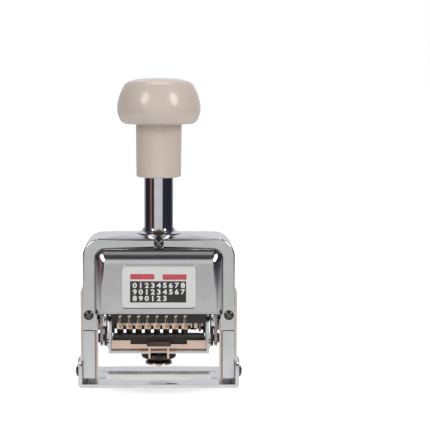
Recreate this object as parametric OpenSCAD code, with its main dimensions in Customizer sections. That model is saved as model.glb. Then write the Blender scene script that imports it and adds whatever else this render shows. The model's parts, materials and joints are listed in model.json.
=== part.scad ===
// Automatic numbering machine with eight wheels, a self-inking pad and a plunger.
// X runs to the right, Y to the rear, Z up. The origin is the middle of the underside.

/* [Frame] */
// Room between a hanger arm and its post
post_room = 1.6; // [1.4:0.1:3]
// Width of a post seen from the front
post_w = 3.7; // [3.2:0.1:4.5]
// Width of the foot of a post below the shell
foot_w = 4.05; // [3.8:0.05:4.6]
// Height of the underside of the posts
foot_z = 3.3; // [2.4:0.1:3.6]
// Height of the tops of the posts inside the shell
post_top = 50; // [46:0.5:54]
// Depth of a foot of a post behind the wheel shaft
foot_rear = 15; // [13:0.5:16.5]
// Depth of the base strap
base_d = 36; // [32:0.5:40]
// Thickness of the base strap
base_t = 1.6; // [1.2:0.1:1.8]
// Height of the upturned ears of the base
ear_h = 11; // [9.5:0.5:13]
// Corner radius of the ears
ear_r = 2.3; // [1:0.1:4]
// Length of the stamping window
window_w = 45.2; // [43:0.1:48]
// Depth of the stamping window
window_d = 17.3; // [16:0.1:19]
// Radius of the sighting notch
notch_r = 3; // [2:0.1:4]
// Offset of the sighting notch from the middle
notch_x = 5.3; // [3:0.1:8]
// Thickness of the front wall that the notch leaves
notch_wall = 0.5; // [0.4:0.1:0.8]
// Height of the base screws
base_screw_z = 5.7; // [5.2:0.1:6.5]
// Distance of the base screws from the middle
base_screw_y = 9; // [7:0.5:11]
// Diameter of the base screws' heads
base_head_d = 5; // [4:0.1:5.6]
// Height of the base screws' heads
base_head_h = 1.8; // [1.2:0.1:2.2]
// Diameter of the base screws
base_screw_d = 3; // [2.6:0.1:3.2]
// Thickness of the side bars
bar_t = 1.05; // [0.8:0.05:1.4]
// Depth of the side bars
bar_d = 24; // [22:1:26]
// Height of the tops of the side bars
bar_top = 42.3; // [35:0.1:45]

/* [Shell] */
// Sheet thickness of the shell
shell_t = 1.2; // [0.9:0.05:1.25]
// Distance of the shell's front face from the wheel shaft
shell_front = 14; // [13.4:0.1:15]
// Distance of the shell's rear face from the wheel shaft
shell_rear = 13; // [12:0.1:14]
// Height of the lower ends of the shell
shell_z = 24.1; // [22:0.1:26]
// Height of the shell at its front edge
shell_top = 63.8; // [62.5:0.1:66]
// Rise of the domed top at the neck
dome = 1.3; // [0.8:0.05:1.6]
// Outer corner radius of the shell
shell_r = 8; // [6:0.1:9]
// Width of the band round the front opening
side_band = 5.2; // [5.1:0.05:5.4]
// Height of the band over the front opening
top_band = 4.1; // [3.8:0.1:4.6]
// Corner radius of the front opening
opening_r = 4.2; // [3:0.1:5]
// Width of the inward lug at the lower end of each leg
lug_w = 0.9; // [0.4:0.1:1.1]
// Height of the lugs
lug_h = 7.9; // [6:0.1:9]
// Diameter of the front screws' heads
front_head_d = 4.2; // [3.6:0.1:4.6]
// Height of the front screws' heads
front_head_h = 1.5; // [1:0.1:1.8]
// Distance of the rear screws from the middle
rear_screw_x = 20; // [16:0.5:22]
// Diameter of the rear screws' heads
rear_head_d = 4; // [3.4:0.1:4.6]
// Width of the side walls beside the rear opening
rear_band = 8.2; // [6:0.1:8.4]

/* [Neck] */
// Outer diameter of the neck tube
neck_d = 12.7; // [12.3:0.05:12.9]
// Wall of the neck tube
neck_t = 1; // [0.9:0.05:1.1]
// Height of the top of the neck tube
neck_top = 96; // [93:0.5:99]
// Diameter of the flared collar
collar_d = 20; // [18:0.1:22]
// Height of the flared collar
collar_h = 3.1; // [2.7:0.1:3.6]
// Thickness of the collar's rim
collar_rim = 1.1; // [0.8:0.1:1.4]
// Height of the guide bush inside the neck
bush_h = 9; // [7:0.5:11]
// Width of the lock button
lock_w = 4; // [3.4:0.1:5]
// Travel of the lock button
lock_travel = 1.5; // [1.2:0.1:1.8]

/* [Plunger] */
// Stroke of the plunger
stroke = 20; // [19:0.1:20.5]
// Diameter of the plunger rod
rod_d = 7; // [6.6:0.1:7.2]
// Diameter of the knob
knob_d = 36; // [32:0.5:38]
// Height of the widest part of the knob
knob_z = 118.4; // [118:0.1:120]
// Rise of the cap over its widest part
cap_h = 13.3; // [12:0.1:15]
// Diameter of the cap's top rim
cap_rim_d = 27.8; // [22:0.1:29]
// Rise of the middle of the cap over its rim
cap_dome = 1.5; // [0.8:0.1:2.5]
// Rounding of the cap's top rim
cap_edge = 1.1; // [0.5:0.1:1.5]
// Depth of the lower ring under the widest part
ring_h = 6.3; // [6:0.1:7.5]
// Diameter of the ring's foot
ring_foot_d = 31.2; // [28:0.1:32]
// Distance of the seam below the widest part
seam_h = 0.8; // [0.5:0.1:2]
// Diameter of the sleeve at its top
sleeve_d = 19.9; // [18.5:0.1:22]
// Height of the lower end of the sleeve
sleeve_z = 89.2; // [88.6:0.1:91]
// Wire diameter of the main spring
spring_wire = 0.9; // [0.7:0.05:1]
// Number of turns of the main spring
spring_turns = 11; // [8:1:12]

/* [Head] */
// Height of the wheel shaft with the plunger up
shaft_z = 28.5; // [28.4:0.1:29]
// Diameter of the wheel shaft
shaft_d = 4; // [3.6:0.1:4.4]
// Room for the spacer between the wheels and the feed yoke
spacer_w = 2.8; // [2.6:0.1:3.4]
// Diameter of the spacers beside the wheels
spacer_d = 13; // [9:0.5:13.4]
// Room for the end spacer beside the right cheek
end_w = 0.9; // [0.7:0.1:1.6]
// Thickness of the cheeks
cheek_t = 1.1; // [0.9:0.05:1.15]
// Height of the underside of the head bridge
bridge_z = 46.5; // [46.3:0.1:48]
// Thickness of the head bridge
bridge_t = 2.5; // [2:0.1:3]
// Reach of the head bridge to the front
bridge_front = 7; // [6.5:0.1:7.2]
// Reach of the head bridge to the rear
bridge_rear = 4; // [3.5:0.1:4.2]
// Thickness of the guard bar
guard_t = 1.2; // [1:0.05:1.5]
// Height of the guard bar
guard_h = 4.2; // [3.8:0.1:4.6]
// Height of the lower edge of the guard bar
guard_z = 26.8; // [26.2:0.1:27]

/* [Wheels] */
// Pitch of the number wheels
wheel_pitch = 4; // [3.95:0.01:4.3]
// Width of the ten flats of a wheel
wheel_w = 2.8; // [2.6:0.05:2.85]
// Distance of the flats from the shaft axis
wheel_flat = 8; // [7.6:0.05:8.05]
// Outer radius of the ratchets
ratchet_r = 6.4; // [5.8:0.1:6.5]
// Depth of the ratchet teeth
tooth_h = 1; // [0.6:0.1:1.4]
// Thickness of the feed pawls
pawl_t = 0.7; // [0.5:0.05:0.8]
// Width of the detent fingers
finger_w = 0.75; // [0.6:0.05:1.2]

/* [Ink pad] */
// Swing of the pad carriage
pad_swing = 120; // [118:1:121]
// Thickness of the side arms of the pad frame
arm_t = 1.2; // [1:0.05:1.3]
// Distance of the front of the pad frame from the wheel shaft
frame_front = 7.6; // [7.2:0.1:7.7]
// Distance of the rear of the pad frame from the wheel shaft
frame_rear = 10.6; // [10.4:0.1:11]
// Height of the underside of the pad frame
frame_z = 12.8; // [12.4:0.1:12.9]
// Width of the front flange of the pad frame
flange_w = 1.9; // [1.7:0.1:2.6]
// Height of the lower bar of the front flange
flange_h = 1.2; // [1:0.1:1.4]
// Depth of the ink pad
pad_d = 11; // [9:0.5:11.5]
// Thickness of the hanger arms
hanger_t = 1.4; // [1:0.05:1.5]
// Width of a hanger arm
hanger_w = 7.3; // [6.5:0.1:7.4]
// Diameter of the swing pins
pin_d = 3; // [2.6:0.1:3.1]
// Distance of the swing pins behind the wheel shaft
pin_y = 7; // [6.9:0.1:7.1]
// Height of the swing pins
pin_z = 17; // [16.9:0.1:17.6]
// Diameter of the spool's upper flange
spool_d = 15.4; // [12:0.2:15.6]
// Diameter of the spool's hub
hub_d = 8.8; // [7:0.2:9.4]
// Diameter of the spool's lower flange
foot_d = 11.6; // [10:0.2:11.6]
// Height of the underside of the spool
spool_z = 7.5; // [7.4:0.1:8.2]

/* [Front cover] */
// Distance of the cover's face from the wheel shaft
cover_front = 17.5; // [16.5:0.1:17.6]
// Width of the rounded border beside the top of the face
border_side = 4.6; // [4:0.05:5.6]
// Width of the rounded border beside the foot of the face
border_foot = 2.9; // [2:0.05:3.6]
// Height of the rounded border over the face
border_top = 6; // [5:0.1:7.2]
// Flatness of the border's bow, 1 for a quarter-round and 2 for a straight slope
border_bow = 1.5; // [1:0.05:1.7]
// Height of the cover's lower edge
cover_z = 32.05; // [31.9:0.05:33]
// Sheet thickness of the cover
cover_t = 1; // [0.7:0.05:1.1]
// Width of the name plate
plate_w = 31.2; // [26:0.2:36]
// Height of the name plate
plate_h = 17.7; // [14:0.1:19]
// Thickness of the name plate
plate_t = 0.4; // [0.2:0.05:0.45]
// Height of the middle of the name plate
plate_z = 43.6; // [43:0.1:44.4]

/* [Hidden] */
$fn = 96;

// Clearances
run = 0.03;      // running fit of a shaft, on the radius
seat = 0.05;     // gap between two sheets that lie face to face
gap = 0.3;       // free gap between parts that move past each other
side_gap = 0.1;  // end play between neighbours on the shaft

// Wheel stack, from the left cheek to the right
wheel_n = 8;
wheel_r = wheel_flat / cos(18);
ratchet_w = wheel_pitch - wheel_w - side_gap;
yoke_left_w = 0.8;
yoke_right_w = 1.6;
cheek_gap = 3 * side_gap + yoke_left_w + wheel_n * wheel_pitch + spacer_w + yoke_right_w + end_w;
stack_left = -cheek_gap / 2 + 2 * side_gap + yoke_left_w;
function wheel_x(i) = stack_left + wheel_w / 2 + (i - 1) * wheel_pitch;
stack_right = wheel_x(wheel_n) + wheel_w / 2 + ratchet_w;
yoke_right = stack_right + side_gap + spacer_w;
finger_r = ratchet_r + gap;
pawl_x = wheel_w / 2 + (wheel_pitch - wheel_w) / 2 - pawl_t / 2;
cheek_r = wheel_r - 0.1;
comb_y = wheel_r + gap;
comb_t = 0.6;
guard_y = comb_y + comb_t + seat;
yoke_r = 14;
pawl_r = 11.5;
pawl_d = 2.4;
feed_rest = 120;

// Width chain of the head and the pad carriage
cheek_in = cheek_gap / 2;
cheek_out = cheek_in + cheek_t;
arm_in = cheek_out + gap;
arm_out = arm_in + arm_t;
flange_out = arm_in + flange_w;
disc_in = arm_out + 0.9;
disc_out = disc_in + 1.4;
hanger_in = disc_out + 0.4;
hanger_out = hanger_in + hanger_t;

// Width chain from the posts outwards
post_in = hanger_out + post_room;
foot_out = post_in + foot_w;
shell_in = post_in + post_w + side_gap;
shell_out = shell_in + shell_t;
bar_low = foot_out + seat;
bar_high = shell_out + seat;
ear_in = bar_low + bar_t + seat;
ear_out = ear_in + base_t;
opening_x = shell_out - side_band;
opening_top = shell_top - top_band;

// Plunger
neck_bore = neck_d - 2 * neck_t;
lock_gap = 0.2;
collar_z = shell_top + 0.25;
collar_top = collar_z + collar_h;
bush_z = collar_z - 4;
bush_top = bush_z + bush_h;
seam_z = knob_z - seam_h;
ring_z = knob_z - ring_h;
sleeve_bore = neck_d / 2 + 0.3;
knob_bore_z = neck_top + stroke + 1;
spring_r = neck_bore / 2 - 0.25 - spring_wire / 2;
spring_top = neck_top + 8;
nut_h = 1.5;
nut_d = 10.4;
tie_y = -5.7;
rod_low = bridge_z - nut_h - 0.2;
rod_end = knob_bore_z + 4;
rod_flat = rod_d / 2 + lock_gap - lock_travel - gap;
lug_drop = 1.4;
tie_z = bridge_z - lug_drop + 0.3;
lock_z = collar_z + 1.7;
lock_h = 1.7;

// Pad carriage
// Way of the swing pin over the stroke, seen from the turning pad frame
slot_way = [for (i = [0:20]) let (a = -pad_swing * i / 20, z = pin_z - shaft_z + stroke * i / 20)
  [pin_y * cos(a) - z * sin(a), pin_y * sin(a) + z * cos(a)]];
function off_line(a) = max([for (p = slot_way) abs(p[0] * cos(a) + p[1] * sin(a))]);
slot_dev = min([for (a = [20:0.1:40]) off_line(a)]);
swing_dir = [for (a = [20:0.1:40]) if (off_line(a) == slot_dev) a][0];
slot_w = pin_d + 2 * (slot_dev + gap);
slot_near = min([for (p = slot_way) norm(p)]);
slot_far = max([for (p = slot_way) norm(p)]);
pad_top = shaft_z - wheel_r - gap;
tray_x = arm_in - seat;
step_x = 12.2;
clip_x = 4.5;
tray_low = frame_z + arm_t + seat;
tray_floor = frame_z + 3.4;
frame_gap_z = frame_z + flange_h + 0.7;
arm_boss = 4.2;
clip_pin_d = 0.7;
clip_pin_y = -frame_front - 0.5;
clip_pin_z = frame_gap_z - 0.65;

// Sheets and screws
rim_t = 0.8;
lip_w = 5.2;
lip_t = 0.8;
face_r = 1;
leg_screw_x = (lug_in() + shell_out) / 2 + 0.5;
leg_screw_z = shell_z + 6.9;
top_screw_z = shell_top - 1.9;
cover_gap = 0.15;
dial_z = 46;
dial_r = 8;
function lug_in() = opening_x - lug_w;

// ---- helpers ----------------------------------------------------------------

// Block between two corners
module block(x0, x1, y0, y1, z0, z1) {
  translate([x0, y0, z0]) cube([x1 - x0, y1 - y0, z1 - z0]);
}

// Outline in Y and Z, extruded along X
module along_x(x0, x1) {
  translate([x0, 0, 0]) rotate([90, 0, 90]) linear_extrude(x1 - x0) children();
}

// Outline in X and Z, extruded along Y
module along_y(y0, y1) {
  translate([0, y1, 0]) rotate([90, 0, 0]) linear_extrude(y1 - y0) children();
}

module pin_x(d, x0, x1, y, z) {
  translate([x0, y, z]) rotate([0, 90, 0]) cylinder(d = d, h = x1 - x0);
}

module pin_y(d, y0, y1, x, z) {
  translate([x, y1, z]) rotate([90, 0, 0]) cylinder(d = d, h = y1 - y0);
}

// Rectangle whose corners are rounded, made of rectangles and circles
module rounded(x0, x1, z0, z1, r) {
  translate([x0 + r, z0]) square([x1 - x0 - 2 * r, z1 - z0]);
  translate([x0, z0 + r]) square([x1 - x0, z1 - z0 - 2 * r]);
  for (x = [x0 + r, x1 - r], z = [z0 + r, z1 - r]) translate([x, z]) circle(r);
}

// Arch: straight sides, round upper corners
module arch(w, z0, z1, r) {
  rounded(-w, w, z0, z1, r);
  translate([-w, z0]) square([2 * w, z1 - z0 - r]);
}

module both() {
  children();
  mirror([1, 0, 0]) children();
}

// Pan head with a domed top, along -Y from the face at y
module pan_head_y(d, h, x, y, z) {
  translate([x, y, z]) rotate([90, 0, 0]) pan_head(d, h);
}

module pan_head(d, h) {
  difference() {
    rotate_extrude() intersection() {
      translate([0, h - (d * d / 4 + h * h / 4) / h]) circle((d * d / 4 + h * h / 4) / h);
      square([d / 2, h]);
    }
    for (a = [0, 90]) rotate([0, 0, a])
      translate([-d * 0.3, -d * 0.06, h * 0.45]) cube([d * 0.6, d * 0.12, h]);
  }
}

// ---- frame ------------------------------------------------------------------

module base_plate() {
  color("gainsboro") difference() {
    intersection() {
      along_y(-base_d / 2, base_d / 2) difference() {
        union() {
          rounded(-ear_out, ear_out, 0, ear_h, base_t);
          translate([-ear_out, ear_h - 2 * base_t]) square([2 * ear_out, 2 * base_t]);
        }
        translate([-ear_in, base_t]) square([2 * ear_in, ear_h]);
      }
      along_x(-ear_out, ear_out) union() {
        rounded(-base_d / 2, base_d / 2, 0, ear_h, ear_r);
        translate([-base_d / 2, 0]) square([base_d, ear_r]);
      }
    }
    block(-window_w / 2, window_w / 2, -window_d / 2, window_d / 2, -1, base_t + 1);
    for (x = [-1, 1], y = [3 - window_d / 2, window_d / 2 - 1])
      translate([x * (window_w / 2 + 1.4), y, 0]) cube([3, 0.9, 3 * base_t], center = true);
    intersection() {
      translate([notch_x, -base_d / 2, -1]) cylinder(r = notch_r, h = base_t + 2);
      block(notch_x - notch_r - 1, notch_x + notch_r + 1, notch_wall - base_d / 2, 0, -1, base_t + 1);
    }
    for (y = [-base_screw_y, base_screw_y])
      pin_x(base_screw_d + 2 * side_gap, -ear_out - 1, ear_out + 1, y, base_screw_z);
  }
}

// Post on the right side; a solid bar with a stepped foot
module post() {
  difference() {
    union() {
      along_y(-shell_front + 0.1, foot_rear) difference() {
        translate([post_in, foot_z]) square([foot_w, shell_z - seat - foot_z]);
        translate([foot_out - 1.6, foot_z - 0.01]) difference() {
          square([2, 1.6]);
          translate([0, 1.6]) circle(1.6);
        }
      }
      block(post_in, post_in + post_w, -shell_front + shell_t + seat,
            shell_rear - shell_t - seat, shell_z - 1, post_top);
    }
    for (y = [-base_screw_y, base_screw_y])
      pin_x(base_screw_d + 2 * side_gap, post_in - 1, foot_out + 1, y, base_screw_z);
    pin_y(2.4, -shell_front, -shell_front + 8, leg_screw_x, leg_screw_z);
    for (z = hanger_screw_z) pin_x(2.4, post_in - 1, post_in + 2.8, pin_y, z);
  }
}

module left_post() {
  color("lightgray") mirror([1, 0, 0]) post();
}

module right_post() {
  color("lightgray") post();
}

// Flat bar outside post and shell, joggled over the shell's wall
module side_bar() {
  difference() {
    along_y(-bar_d / 2, bar_d / 2) polygon([
      [bar_low, foot_z], [bar_low + bar_t, foot_z], [bar_low + bar_t, ear_h + 0.8],
      [bar_high + bar_t, ear_h + 2.6], [bar_high + bar_t, bar_top - 1.8],
      [bar_high + bar_t - 0.6, bar_top], [bar_high, bar_top],
      [bar_high, ear_h + 2.9], [bar_low, ear_h + 1.1]]);
    for (y = [-base_screw_y, base_screw_y])
      pin_x(base_screw_d + 2 * side_gap, bar_low - 1, bar_low + bar_t + 1, y, base_screw_z);
  }
}

module left_side_bar() {
  color("tan") mirror([1, 0, 0]) side_bar();
}

module right_side_bar() {
  color("tan") side_bar();
}

module base_screws() {
  color("black") both() for (y = [-base_screw_y, base_screw_y]) {
    translate([ear_out, y, base_screw_z]) rotate([0, 90, 0]) pan_head(base_head_d, base_head_h);
    pin_x(base_screw_d, post_in + 0.4, ear_out, y, base_screw_z);
  }
}

module frame_shell() {
  crown_r = (pow((shell_front + shell_rear) / 2, 2) + dome * dome) / (2 * dome);
  mid_y = (shell_rear - shell_front) / 2;
  hip_x = shell_out - shell_r + 1;
  color("silver") difference() {
    intersection() {
      along_y(-shell_front, shell_rear) {
        arch(shell_out, shell_z, shell_top + 0.2, shell_r);
        polygon([[hip_x, shell_top - 1], [hip_x, shell_top], [collar_d / 2, shell_top + dome],
          [-collar_d / 2, shell_top + dome], [-hip_x, shell_top], [-hip_x, shell_top - 1]]);
      }
      translate([-shell_out - 1, mid_y, shell_top + dome - crown_r]) rotate([0, 90, 0])
        cylinder(r = crown_r, h = 2 * shell_out + 2, $fn = 360);
    }
    along_y(-shell_front + shell_t, shell_rear - shell_t)
      arch(shell_in, shell_z - 1, shell_top - shell_t, shell_r - shell_t);
    along_y(-shell_front - 1, 0) difference() {
      arch(opening_x, shell_z - 1, opening_top, opening_r);
      for (m = [0, 1]) mirror([m, 0]) difference() {
        translate([lug_in(), shell_z - 2]) square([lug_w + 1, lug_h + 2]);
        translate([lug_in(), shell_z + lug_h]) circle(0.8);
      }
    }
    along_y(0, shell_rear + 1) arch(shell_out - rear_band, shell_z - 1, opening_top, opening_r);
    cylinder(d = neck_d + 2 * seat, h = shell_top + 10);
    translate([0, 0, collar_z]) cylinder(d = collar_d + 2 * seat, h = 3);
    for (x = [-1, 1]) pin_y(2.6, -shell_front - 1, -shell_front + 4, x * leg_screw_x, leg_screw_z);
    pin_y(2.6, -shell_front - 1, -shell_front + 4, 0, top_screw_z);
    for (x = [-rear_screw_x, rear_screw_x]) pin_y(2.2, shell_rear - 4, shell_rear + 1, x, top_screw_z);
  }
}

module neck_collar() {
  r0 = collar_d / 2;
  r1 = neck_d / 2 + seat;
  w = r0 - r1 - 0.4;
  color("silver") difference() {
    rotate_extrude() polygon(concat(
      [[r1, collar_z], [r0 - 0.2, collar_z], [r0, collar_z + 0.2]],
      [for (a = [0:15:90]) [r0 - w * sin(a),
        collar_z + collar_rim + (collar_h - collar_rim) * (1 - cos(a))]],
      [[r1, collar_top]]));
    block(-lock_w / 2 - seat, lock_w / 2 + seat, -r0 - 1, 0,
      lock_z - lock_h / 2 - seat, collar_top + 1);
    pin_y(3.1, -r0 - 1, 0, 0, lock_z);
  }
}

module neck_tube() {
  color("silver") difference() {
    translate([0, 0, bush_z]) cylinder(d = neck_d, h = neck_top - bush_z);
    translate([0, 0, bush_z - 1]) cylinder(d = neck_bore, h = neck_top - bush_z + 2);
    pin_y(1.6 + 2 * side_gap, -neck_d, 0, 0, lock_z);
  }
}

module guide_bush() {
  color("goldenrod") difference() {
    union() {
      translate([0, 0, bush_z]) cylinder(d = neck_bore - 2 * run, h = bush_h);
      translate([0, 0, bush_z - 1.5]) cylinder(d = neck_d + 2, h = 1.5);
    }
    translate([0, 0, bush_z - 2]) cylinder(d = rod_d + 2 * run, h = bush_h + 4);
    pin_y(1.6 + 2 * side_gap, -neck_d, 0, 0, lock_z);
  }
}

// Solid of the cover: from the rim at the shell a quarter-round border runs to the flat face
module cover_solid(inset) {
  rim_x = opening_x - cover_gap - inset;
  rim_z = opening_top - cover_gap - inset;
  rim_r = opening_r - inset;
  foot_x = opening_x - border_foot - inset;
  face_x = opening_x - border_side - inset;
  face_z = opening_top - border_top - inset;
  depth = cover_front - shell_front - inset;
  hull() for (s = [-1, 1], t = [0:15:90]) {
    out = pow(cos(t), border_bow);
    x = face_x + (rim_x - face_x) * out;
    z = face_z + (rim_z - face_z) * out;
    r = face_r + (rim_r - face_r) * out;
    y = -shell_front - depth * pow(sin(t), border_bow);
    translate([s * (x - r), y + 0.02, z - r]) rotate([90, 0, 0]) cylinder(r = r, h = 0.02, $fn = 32);
    translate([s * (foot_x + (rim_x - foot_x) * out - 0.5), y + 0.01, cover_z - inset + 0.5])
      cube([1, 0.02, 1], center = true);
    if (t == 0) {
      translate([s * (x - r), rim_t - shell_front, z - r]) rotate([90, 0, 0])
        cylinder(r = r, h = rim_t, $fn = 32);
      translate([s * (rim_x - 0.5), rim_t / 2 - shell_front, cover_z - inset + 0.5])
        cube([1, rim_t, 1], center = true);
    }
  }
}

// Pressed pan whose top lip is held behind the shell by the upper screw
module front_cover() {
  lip_y = shell_t + seat - shell_front;
  lip_z = opening_top - cover_gap;
  color("lightsteelblue") {
    difference() {
      cover_solid(0);
      translate([0, rim_t, 0]) cover_solid(cover_t);
      block(-opening_x, opening_x, -cover_front - 1, 0, cover_z - 5, cover_z + 0.01);
    }
    block(-lip_w / 2, lip_w / 2, rim_t - shell_front - 0.3, lip_y + lip_t, lip_z - cover_t, lip_z);
    difference() {
      along_y(lip_y, lip_y + lip_t) translate([-lip_w / 2, lip_z - cover_t])
        square([lip_w, top_screw_z + 1.9 - shell_t - lip_z + cover_t]);
      pin_y(2.4, lip_y - 1, lip_y + lip_t + 1, 0, top_screw_z);
    }
  }
}

module name_plate() {
  color("whitesmoke") along_y(-cover_front - plate_t, -cover_front)
    rounded(-plate_w / 2, plate_w / 2, plate_z - plate_h / 2, plate_z + plate_h / 2, 1.8);
}

module front_screws() {
  color("black") {
    both() {
      pan_head_y(front_head_d, front_head_h, leg_screw_x, -shell_front, leg_screw_z);
      pin_y(2.4, -shell_front, -shell_front + 6, leg_screw_x, leg_screw_z);
    }
    pan_head_y(front_head_d, front_head_h, 0, -shell_front, top_screw_z);
    pin_y(2.4, -shell_front, -shell_front + 3, 0, top_screw_z);
  }
}

// Flat sheet behind the rear opening, held at its top by two screws
module rear_cover() {
  color("lightsteelblue") difference() {
    union() {
      along_y(shell_rear + seat, shell_rear + seat + 1)
        rounded(-opening_x - 2, opening_x + 2, shaft_z + 1.5, shell_top - 0.6, 3);
    }
    for (x = [-rear_screw_x, rear_screw_x]) pin_y(2.2, shell_rear - 2, shell_rear + 3, x, top_screw_z);
    pin_y(3 + 2 * run, shell_rear - 2, shell_rear + 3, 0, dial_z);
  }
}

module rear_screws() {
  color("black") for (x = [-rear_screw_x, rear_screw_x]) {
    mirror([0, 1, 0]) pan_head_y(rear_head_d, 1.4, x, -shell_rear - seat - 1, top_screw_z);
    pin_y(2.1, shell_rear - 2.5, shell_rear + seat + 1, x, top_screw_z);
  }
}

// Arm that hangs from the post and carries the swing pin at its round lower end
hanger_screw_z = [23, 33];

module hanger() {
  difference() {
    along_x(hanger_in, hanger_out) {
      translate([pin_y, pin_z]) circle(d = hanger_w);
      translate([pin_y - hanger_w / 2, pin_z]) square([hanger_w, hanger_screw_z[1] + 3 - pin_z]);
    }
    pin_x(pin_d - 0.6, hanger_in - 1, hanger_out + 1, pin_y, pin_z);
    for (z = hanger_screw_z) pin_x(2.4, hanger_in - 1, hanger_out + 1, pin_y, z);
  }
  for (z = hanger_screw_z) difference() {
    pin_x(5, hanger_out, post_in, pin_y, z);
    pin_x(2.4, hanger_out - 1, post_in + 1, pin_y, z);
  }
}

module left_hanger() {
  color("rosybrown") mirror([1, 0, 0]) hanger();
}

module right_hanger() {
  color("rosybrown") hanger();
}

// Pin through the arm's slot, with a long keeper plate and a riveted end
module swing_pins() {
  color("dimgray") both() {
    pin_x(pin_d, arm_in + 0.1, disc_in, pin_y, pin_z);
    along_x(disc_in, disc_out) {
      for (z = [pin_z, hanger_screw_z[0]]) translate([pin_y, z]) circle(d = hanger_w);
      translate([pin_y - hanger_w / 2, pin_z]) square([hanger_w, hanger_screw_z[0] - pin_z]);
    }
    pin_x(pin_d, disc_out, hanger_in, pin_y, pin_z);
    pin_x(pin_d - 0.6, hanger_in, hanger_out, pin_y, pin_z);
    pin_x(4.4, hanger_out, hanger_out + 0.8, pin_y, pin_z);
  }
}

module hanger_screws() {
  color("dimgray") both() for (z = hanger_screw_z) {
    translate([hanger_in, pin_y, z]) rotate([0, -90, 0])
      cylinder(d = 4, h = hanger_in - disc_out - seat);
    pin_x(2.3, hanger_in, post_in + 2.6, pin_y, z);
  }
}

// ---- lock -------------------------------------------------------------------

module lock_button() {
  y0 = collar_d / 2 + 0.6;
  y1 = neck_d / 2 + seat + lock_travel + 0.2;
  color("saddlebrown") {
    along_y(-y0, -y1) polygon([
      [-lock_w / 2, lock_z - lock_h / 2], [lock_w / 2, lock_z - lock_h / 2],
      [lock_w / 2 - 0.5, lock_z + lock_h / 2], [-lock_w / 2 + 0.5, lock_z + lock_h / 2]]);
  }
}

// Pin of the button, which passes the neck and meets the rod's flat
module lock_pin() {
  y1 = neck_d / 2 + seat + lock_travel + 0.2;
  color("gray") pin_y(1.6, -y1, -rod_d / 2 - lock_gap, 0, lock_z);
}

module lock_spring() {
  y0 = neck_d / 2 + 0.1;
  y1 = neck_d / 2 + seat + lock_travel + 0.2;
  color("gray") difference() {
    pin_y(3, -y1, -y0, 0, lock_z);
    pin_y(2.2, -y1 - 1, -y0 + 1, 0, lock_z);
  }
}

// ---- plunger ----------------------------------------------------------------

// Superellipse quarter, from the widest point to the end
// Knob: sides drawn in as a parabola to the cap's rim above and to the ring's foot below
module knob_solid() {
  r = knob_d / 2;
  rim = cap_rim_d / 2;
  foot = ring_foot_d / 2;
  side = cap_h - cap_dome;
  e = cap_edge;
  translate([0, 0, knob_z]) rotate_extrude() polygon(concat([[0, cap_h]],
    [for (x = [2:2:rim - 2 * e]) [x, cap_h - (cap_dome - 0.3) * pow(x / rim, 2)]],
    [for (a = [80:-20:20]) [rim - e + e * cos(a), side - e + e * sin(a)]],
    [for (i = [13:-1:0]) let (u = i / 14) [r - (r - rim) * u * u, side * u]],
    [for (i = [1:7]) let (u = i / 8) [r - (r - foot) * u * u, -ring_h * u]],
    [for (a = [20:20:80]) [foot - 1.2 + 1.2 * cos(a), -ring_h + 0.8 - 0.8 * sin(a)]], [[0, -ring_h]]));
}

module knob_cap() {
  color("wheat") difference() {
    knob_solid();
    translate([0, 0, ring_z - 1]) cylinder(r = knob_d, h = seam_z + 0.05 - ring_z + 1);
    translate([0, 0, ring_z]) cylinder(r = sleeve_bore, h = knob_bore_z - ring_z);
    translate([0, 0, ring_z]) cylinder(d = rod_d, h = rod_end - ring_z);
  }
}

module knob_ring() {
  color("wheat") difference() {
    knob_solid();
    translate([0, 0, seam_z]) cylinder(r = knob_d, h = 50);
    translate([0, 0, ring_z - 1]) cylinder(d = sleeve_d - 3, h = 50);
    difference() {
      translate([0, 0, seam_z - 0.15]) cylinder(r = knob_d, h = 1);
      cylinder(r = knob_d / 2 - 0.4, h = 200);
    }
  }
}

module knob_sleeve() {
  color("wheat") difference() {
    union() {
      translate([0, 0, sleeve_z]) rotate_extrude() polygon([
        [0, 0], [sleeve_d / 2 - 0.8, 0], [sleeve_d / 2 - 0.35, 0.2], [sleeve_d / 2 - 0.2, 0.8],
        [sleeve_d / 2, ring_z - sleeve_z], [0, ring_z - sleeve_z]]);
      translate([0, 0, ring_z - 0.01]) cylinder(d = sleeve_d - 3 - 2 * seat, h = seam_z - ring_z);
    }
    translate([0, 0, sleeve_z - 1]) cylinder(r = sleeve_bore, h = 60);
  }
}

module plunger_rod() {
  color("lightgray") difference() {
    union() {
      translate([0, 0, rod_low]) cylinder(d = rod_d, h = rod_end - rod_low);
      translate([0, 0, spring_top]) cylinder(d = neck_bore - 0.5, h = 3);
      translate([0, 0, bridge_z + bridge_t]) cylinder(d = rod_d + 4, h = 2);
    }
    block(-rod_d, rod_d, -rod_d, -rod_flat, bridge_z + bridge_t + 3, collar_top + stroke + 2);
  }
}

module rod_nut() {
  color("dimgray") difference() {
    translate([0, 0, bridge_z - nut_h]) cylinder(d = nut_d, h = nut_h, $fn = 6);
    translate([0, 0, bridge_z - 3]) cylinder(d = rod_d, h = 4);
  }
}

// Tube swept along a helix, closed at both ends
module coil(r, wire, z0, z1, turns, steps, sides) {
  n = turns * steps;
  pts = [for (i = [0:n], j = [0:sides - 1])
    let (a = 360 * i / steps, b = 360 * j / sides, q = r + wire / 2 * cos(b))
      [q * cos(a), q * sin(a), z0 + (z1 - z0) * i / n + wire / 2 * sin(b)]];
  faces = concat(
    [[for (j = [0:sides - 1]) j]],
    [for (i = [0:n - 1], j = [0:sides - 1]) let (k = (j + 1) % sides)
      [i * sides + j, (i + 1) * sides + j, (i + 1) * sides + k, i * sides + k]],
    [[for (j = [sides - 1:-1:0]) n * sides + j]]);
  polyhedron(pts, faces);
}

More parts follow.
